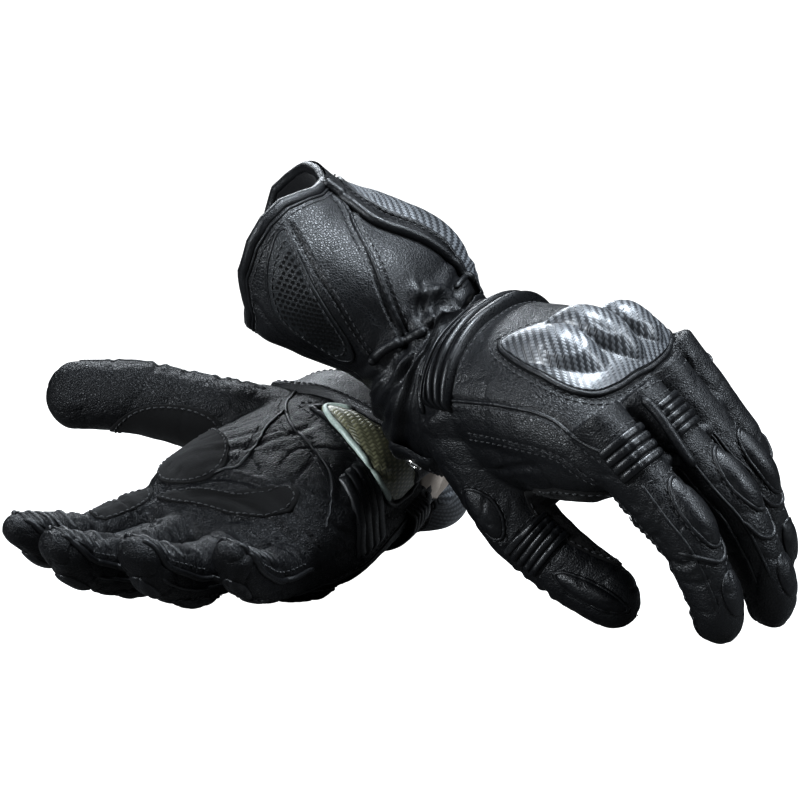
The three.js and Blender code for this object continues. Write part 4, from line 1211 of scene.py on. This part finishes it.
def make_guard(kit):
    """The hard knuckle guard: one shell with a dome over each knuckle."""
    outline = [(29, -21), (39, -27), (52, -31), (66, -33), (76, -30), (80, -20), (81, -6), (82, 10), (80, 26),
               (73, 37), (64, 38), (58, 27), (50, 10), (36, -8)]
    # centre (s, y), length, width and height of each dome
    domes = [((55, -19), 27, 10.5, 7.5), ((62, 1), 25, 10.5, 8.4), ((66, 20), 18, 10, 7.8),
             ((68, 33), 10, 6.5, 4.0)]

    def height(f, u, v):
        h = np.zeros_like(u)
        for (cu, cv), ru, rv, tall in domes:
            ahead = np.where(u > cu, ru * 0.74, ru)
            r = np.sqrt(((u - cu) / ahead) ** 2 + ((v - cv - (u - cu) * 0.10) / rv) ** 2)
            h = np.maximum(h, tall * (1 - np.clip(r, 0, 1) ** 2.4) ** 0.8)
            front = np.sqrt(((u - cu) / (ru * 0.52)) ** 2 + ((v - cv) / (rv * 0.8)) ** 2)
            h += 0.8 * np.exp(-((front - 0.9) / 0.12) ** 2) * (u > cu - 2)
        return 2.0 + (1 - f ** 6) * (h + 0.8)

    line = kit.patch("knuckle_guard", "trunk", outline, height, CARBON, rings=44, step=0.9, flat=True,
                     replaces=("knuckle_guard",), edge=2.0)
    line = np.stack([line[:, 0], (line[:, 1] + 180) % 360 - 180], 1)
    middle = line.mean(0)

    def grown(by):
        size = np.linalg.norm((line - middle) * np.array([1, 0.85]), axis=1, keepdims=True)
        return line + (line - middle) / size * by

    kit.rod("guard_welt", "trunk", grown(1.3)[::5], 1.4, closed=True, lift=0.5)
    kit.stitch("trunk", grown(3.8)[::6], closed=True, lift=0.2)
    kit.stitch("trunk", grown(6.2)[::6], closed=True, lift=0.2)


def pad(kit, part, limb, outline, height, body, stands_for, fill, piping, sewn):
    """A stuffed leather pad, with piping at its edge and a row of stitches outside that."""
    line = kit.patch(part, limb, outline, height, body=body, rings=12, replaces=(stands_for,), fill=fill)
    kit.rod(part + "_piping", limb, scaled(line, 1.05)[::5], piping, body, closed=True, lift=0.2)
    kit.stitch(limb, scaled(line, sewn)[::6], body, closed=True)


def make_pads(kit):
    knuckle_pads = (("index", 38, 8, 14, 34), ("middle", 38, 14, 14, 34), ("ring", 40, 12, 13, 32))
    for name, s, a, long, wide in knuckle_pads:
        body = "~" + name
        outline = [(s + long * math.cos(t), a + wide * math.sin(t) * (1 + 0.12 * math.cos(t)))
                   for t in turns(12)]
        pad(kit, name + "_pad", name, outline, rounded(1.0, 2.7, 2.6), body, name + "_knuckle_pad", 0.85,
            1.0, 1.22)
        kit.stitch(name, [(s - long - 5, a - 52), (s - long - 3, a), (s - long - 5, a + 52)], body)
        for part, turn in (("_edge_seam", -1), ("_edge_seam_b", 1)):
            control = [(s + along, a + turn * out) for along, out in ((-20, 62), (0, 66), (22, 62), (38, 60))]
            kit.rod(name + part, name, control, 0.8, body, lift=-0.1)
    for name, s in (("index", 72), ("middle", 79), ("ring", 74), ("little", 58)):
        outline = [(s + 8.5 * math.cos(t), 6 + 34 * math.sin(t)) for t in turns(10)]
        kit.patch(name + "_tip_panel", name, outline, rounded(0.6, 1.1, 2.5), body="~" + name, rings=7,
                  fill=0.7)
    for part, outline, body in (
        ("thumb_base_pad",
         [(20, 246), (24, 264), (33, 272), (41, 264), (43, 248), (37, 232), (26, 230)], "hand"),
        ("thumb_tip_pad",
         [(71, 266), (79, 281), (91, 288), (101, 284), (102, 270), (93, 258), (80, 254)], "~thumb"),
    ):
        pad(kit, part, "thumb", outline, rounded(0.9, 2.2, 2.6), body, part, 0.8, 0.9, 1.2)


def suede(kit, part, limb, outline, body="hand", rings=8, edge=0.8, sewn=0.93, lift=1.1, replaces=()):
    """A flat suede patch with a row of stitches just inside its edge."""
    line = kit.patch(part, limb, outline, rounded(edge, 0.3), SUEDE, body, rings, replaces=replaces)
    kit.stitch(limb, scaled(line, sewn)[::6], body, closed=True, lift=lift)


def make_palm(kit):
    slider = [(20, 181), (14, 172), (11, 150), (1, 118), (2, 96), (27, 98), (33, 126), (28, 156)]
    line = kit.patch("palm_slider", "trunk", slider, rounded(2.2, 2.6, 3), ARAMID, rings=18,
                     replaces=("palm_slider",), edge=2.2)
    rim = [(11, 170), (17, 180), (24, 174), (30, 156), (35, 126), (31, 100)]
    kit.rod("palm_slider_rim", "trunk", rim, 1.7, surface=RIM, lift=1.4, tall=0.9,
            replaces=("palm_slider_rim",))
    kit.rod("palm_slider_welt", "trunk", scaled(line, 1.1)[::5], 1.3, closed=True, lift=0.3)
    kit.stitch("trunk", scaled(line, 1.3)[::6], closed=True)
    grip = [(99, 224), (95, 208), (91, 192), (87, 174), (80, 163), (72, 155), (76, 148), (83, 147), (90, 156),
            (95, 170), (98, 190), (101, 208)]
    suede(kit, "grip_strip", "trunk", grip, replaces=("palm_grip_patch",))
    web = [(22, 330), (38, 314), (60, 316), (78, 334), (90, 358), (88, 392), (78, 424), (62, 446), (42, 450),
           (30, 430), (23, 385)]
    suede(kit, "web_patch", "thumb", web, "~thumb", rings=16, sewn=0.94, replaces=("thumb_web_patch",))
    # the same patch goes on over the palm, between the thumb and the index finger
    crotch = [(50, 238), (56, 218), (62, 203), (70, 194), (80, 189), (88, 196), (92, 212), (90, 232),
              (80, 246), (64, 248)]
    suede(kit, "crotch_patch", "trunk", crotch, rings=12)
    tip = [(9, 196), (25, 212), (42, 200), (45, 178), (40, 156), (21, 156), (10, 172)]
    suede(kit, "index_palm_patch", "index", tip, "~index", edge=0.7, sewn=0.9, lift=1.0)


def make_seams(kit):
    edge = [(0, 291), (24, 297), (48, 301), (66, 301), (80, 291), (92, 279), (101, 268)]
    kit.rod("thumb_edge_seam", "trunk", edge, 1.0, lift=0.1)
    kit.stitch("trunk", [(2, 288), (24, 293), (48, 297), (66, 297), (79, 287), (90, 275)])
    kit.stitch("trunk", [(22, 276), (48, 279), (68, 278), (79, 270), (88, 258)])
    kit.stitch("trunk", [(22, 272), (48, 275), (68, 274), (78, 266), (86, 255)])
    # tubular ridge between the index and middle ribs
    first, out_a = kit.surface.lay("trunk", 87, 336, 1.5)
    last, out_b = kit.surface.lay("middle", 24, 308, 0.5)
    share = np.linspace(0, 1, 40)[:, None]
    outward = out_a * (1 - share) + out_b * share
    spine = first * (1 - share) + last * share + outward * 0.003 * np.sin(np.pi * share)
    kit.tube("ridge", spine, outward, 2.3, "~middle")
    # heel, thumb and edge seams of the palm
    for part, control in (
        ("heel_seam", [(6, 216), (17, 208), (29, 196), (42, 178), (49, 159), (56, 143), (76, 120)]),
        ("thumb_palm_seam", [(29, 196), (45, 192), (60, 186), (76, 184), (84, 192)]),
        ("edge_seam", [(0, 78), (24, 74), (50, 70), (76, 68), (92, 66)]),
    ):
        kit.rod(part, "trunk", control, 0.9, lift=-0.1)
        kit.stitch("trunk", [(s + 2, a + 4) for s, a in control[1:-1]])
    kit.rod("thumb_seam", "thumb", [(16, 150), (36, 172), (60, 174)], 0.9, lift=-0.1)
    tip = [(60, 174), (80, 172), (98, 172), (106, 180), (108, 200)]
    kit.rod("thumb_tip_seam", "thumb", tip, 0.9, "~thumb", lift=-0.1)
    for name in FINGERS:
        make_finger_seams(kit, name, sum(FINGERS[name][2]), FINGERS[name][2][0] + 5)


def make_finger_seams(kit, name, length, joint):
    body = "~" + name
    first = -84 if name == "index" else -48
    across = [(-5, first), (2, -30), (5, 0), (2, 26), (-4, 48)]
    kit.rod(name + "_panel_edge", name, [(joint + s, a) for s, a in across], 1.0, body, lift=0.2)
    kit.stitch(name, [(joint + 3 + s, a) for s, a in across], body)
    if kit.side == "right":
        for turn in (-1, 1):
            welt = [(10, 78), (length * 0.4, 84), (length * 0.7, 80), (length - 12, 70), (length - 3, 30)]
            control = [(s, 180 + turn * a) for s, a in welt]
            kit.rod(f"{name}_side_welt_{turn + 1}", name, control, 1.3, body, lift=0.3)
        for k in range(4):
            place = length - 34 + 7 * k
            fold = [(place, 128), (place + 2, 160), (place + 1, 200), (place - 1, 232)]
            kit.rod(f"{name}_fold_{k}", name, fold, 1.6, body, HIDE, lift=-0.5, tall=0.9)
    kit.stitch(name, [(16, 118), (length * 0.5, 116), (length - 14, 122)], body)
    kit.stitch(name, [(16, 242), (length * 0.5, 244), (length - 14, 238)], body)
    tip = [(length - 20, 118), (length - 8, 140), (length - 5, 180), (length - 8, 220), (length - 20, 242)]
    kit.rod(name + "_tip_seam", name, tip, 0.8, body)


def make_strap(kit):
    """The wrist strap across the palm side, with its metal ring."""
    if kit.side == "left":
        body, near, high, ring_place, ring_side = "strap", -25, 3.6, -14, 235
    else:
        body, near, high, ring_place, ring_side = "hand", -12, 3.8, -3, 130
        kit.surface = Surface(kit.glove, kit.wrist_skins)
    low, far = 92, 248
    u, a = np.meshgrid(np.linspace(0, 1, 15), np.arange(low, far + 0.1, 2.5), indexing="ij")
    side = np.minimum(np.clip(u / 0.12, 0, 1), np.clip((1 - u) / 0.12, 0, 1)) ** 0.5
    end = np.minimum(np.clip((a - low) / 5, 0, 1), np.clip((far - a) / 5, 0, 1)) ** 0.5
    h = high * side * end + 0.2
    h[0], h[-1] = -0.4, -0.4
    kit.grid("wrist_strap", "trunk", near + 21 * u, a, h, CUFF_HIDE, body, ("wrist_strap",))
    kit.surface = Surface(kit.glove, [kit.last])
    for place in (near + 3, near + 18):
        kit.stitch("trunk", [(place, x) for x in range(98, 244, 12)], body)
    p, n = kit.surface.lay("trunk", ring_place, ring_side, 0.8)
    ring = np.array(circle(p, n, (0.2, 0.3, 0.9), 3.0, 28))
    kit.tube("strap_ring", ring, np.broadcast_to(n, ring.shape), 0.95, body, STEEL, closed=True,
             replaces=("strap_rivet",))
    kit.surface = kit.cuff_surface
    # painted reflection: this tan patch stands for the white floor reflected in the black leather of the
    # wrist
    panel = [(-4, 60), (-4, 110), (-26, 112), (-44, 100), (-48, 70), (-30, 52)]
    kit.patch("wrist_panel", "trunk", panel, rounded(0.8, 0.5), FLOOR_REFLECTION, rings=8)


ON_CUFF = (make_vent, make_cuff_seams, make_flap, make_strap)
ON_HAND = (make_ribs, make_guard, make_pads, make_palm, make_seams)
for glove in gloves:
    kit = Kit(glove)
    make_hand(kit)
    make_cuff(kit)
    for surface, steps in ((kit.cuff_surface, ON_CUFF), (kit.hand_surface, ON_HAND)):
        kit.surface = surface
        for make in steps:
            make(kit)
    kit.sew(THREAD)


# ---------------------------------------------------------------- camera, floor and light
def look_from(distance, elevation, target):
    e = math.radians(elevation)
    return Vector(target) + distance * Vector((0, -math.cos(e), math.sin(e)))


ELEVATION = 6
camera_data = bpy.data.cameras.new("camera")
camera_data.lens = 96
camera_data.sensor_width = 36
camera = bpy.data.objects.new("camera", camera_data)
camera.location = look_from(1.0, ELEVATION, (0, -0.0044, 0.09))
camera.rotation_euler = (math.radians(90 - ELEVATION), 0, 0)
scene.collection.objects.link(camera)
scene.camera = camera

floor = new_object("floor", [(-4, -3, 0), (4, -3, 0), (4, 5, 0), (-4, 5, 0)], [(0, 1, 2, 3)])
floor.data.materials.append(FLOOR)


def softbox(name, place_at, target, size, power, colour):
    data = bpy.data.lights.new(name, "AREA")
    data.shape, data.size, data.size_y = "RECTANGLE", size[0], size[1]
    data.energy, data.color = power, colour
    obj = bpy.data.objects.new(name, data)
    obj.location = place_at
    obj.rotation_euler = (Vector(target) - Vector(place_at)).to_track_quat("-Z", "Y").to_euler()
    scene.collection.objects.link(obj)
    return obj


COOL, COOLER = (0.90, 0.95, 1.0), (0.86, 0.93, 1.0)
lamps = [
    softbox("top", (0.25, -0.15, 1.1), (0.03, 0, 0.08), (0.55, 0.35), 26, COOLER),
    softbox("left", (-1.0, -0.75, 0.55), (-0.05, 0, 0.08), (0.30, 0.55), 25, COOL),
    softbox("right", (1.0, -0.5, 0.75), (0.08, 0, 0.08), (0.25, 0.5), 14, COOLER),
    softbox("behind", (-0.35, 0.9, 0.9), (0, 0, 0.1), (0.8, 0.25), 12, COOL),
]

# a plain, slightly contrasty print; the world is white to the camera and almost dark to the leather
scene.view_settings.view_transform = "Standard"
scene.view_settings.exposure = 0.4
scene.view_settings.gamma = 0.8
world = bpy.data.worlds.new("studio")
world.use_nodes = True
scene.world = world
tree = world.node_tree
sky = tree.nodes["Background"]
sky.inputs["Color"].default_value = (1, 1, 1, 1)
sky.inputs["Strength"].default_value = 0.03
bright = node(tree, "Background", {"Color": (1, 1, 1, 1), "Strength": 0.97})
seen = node(tree, "LightPath").outputs["Is Camera Ray"]
both = node(tree, "MixShader", {0: seen, 1: sky.outputs[0], 2: bright.outputs[0]})
tree.links.new(both.outputs[0], tree.nodes["World Output"].inputs["Surface"])
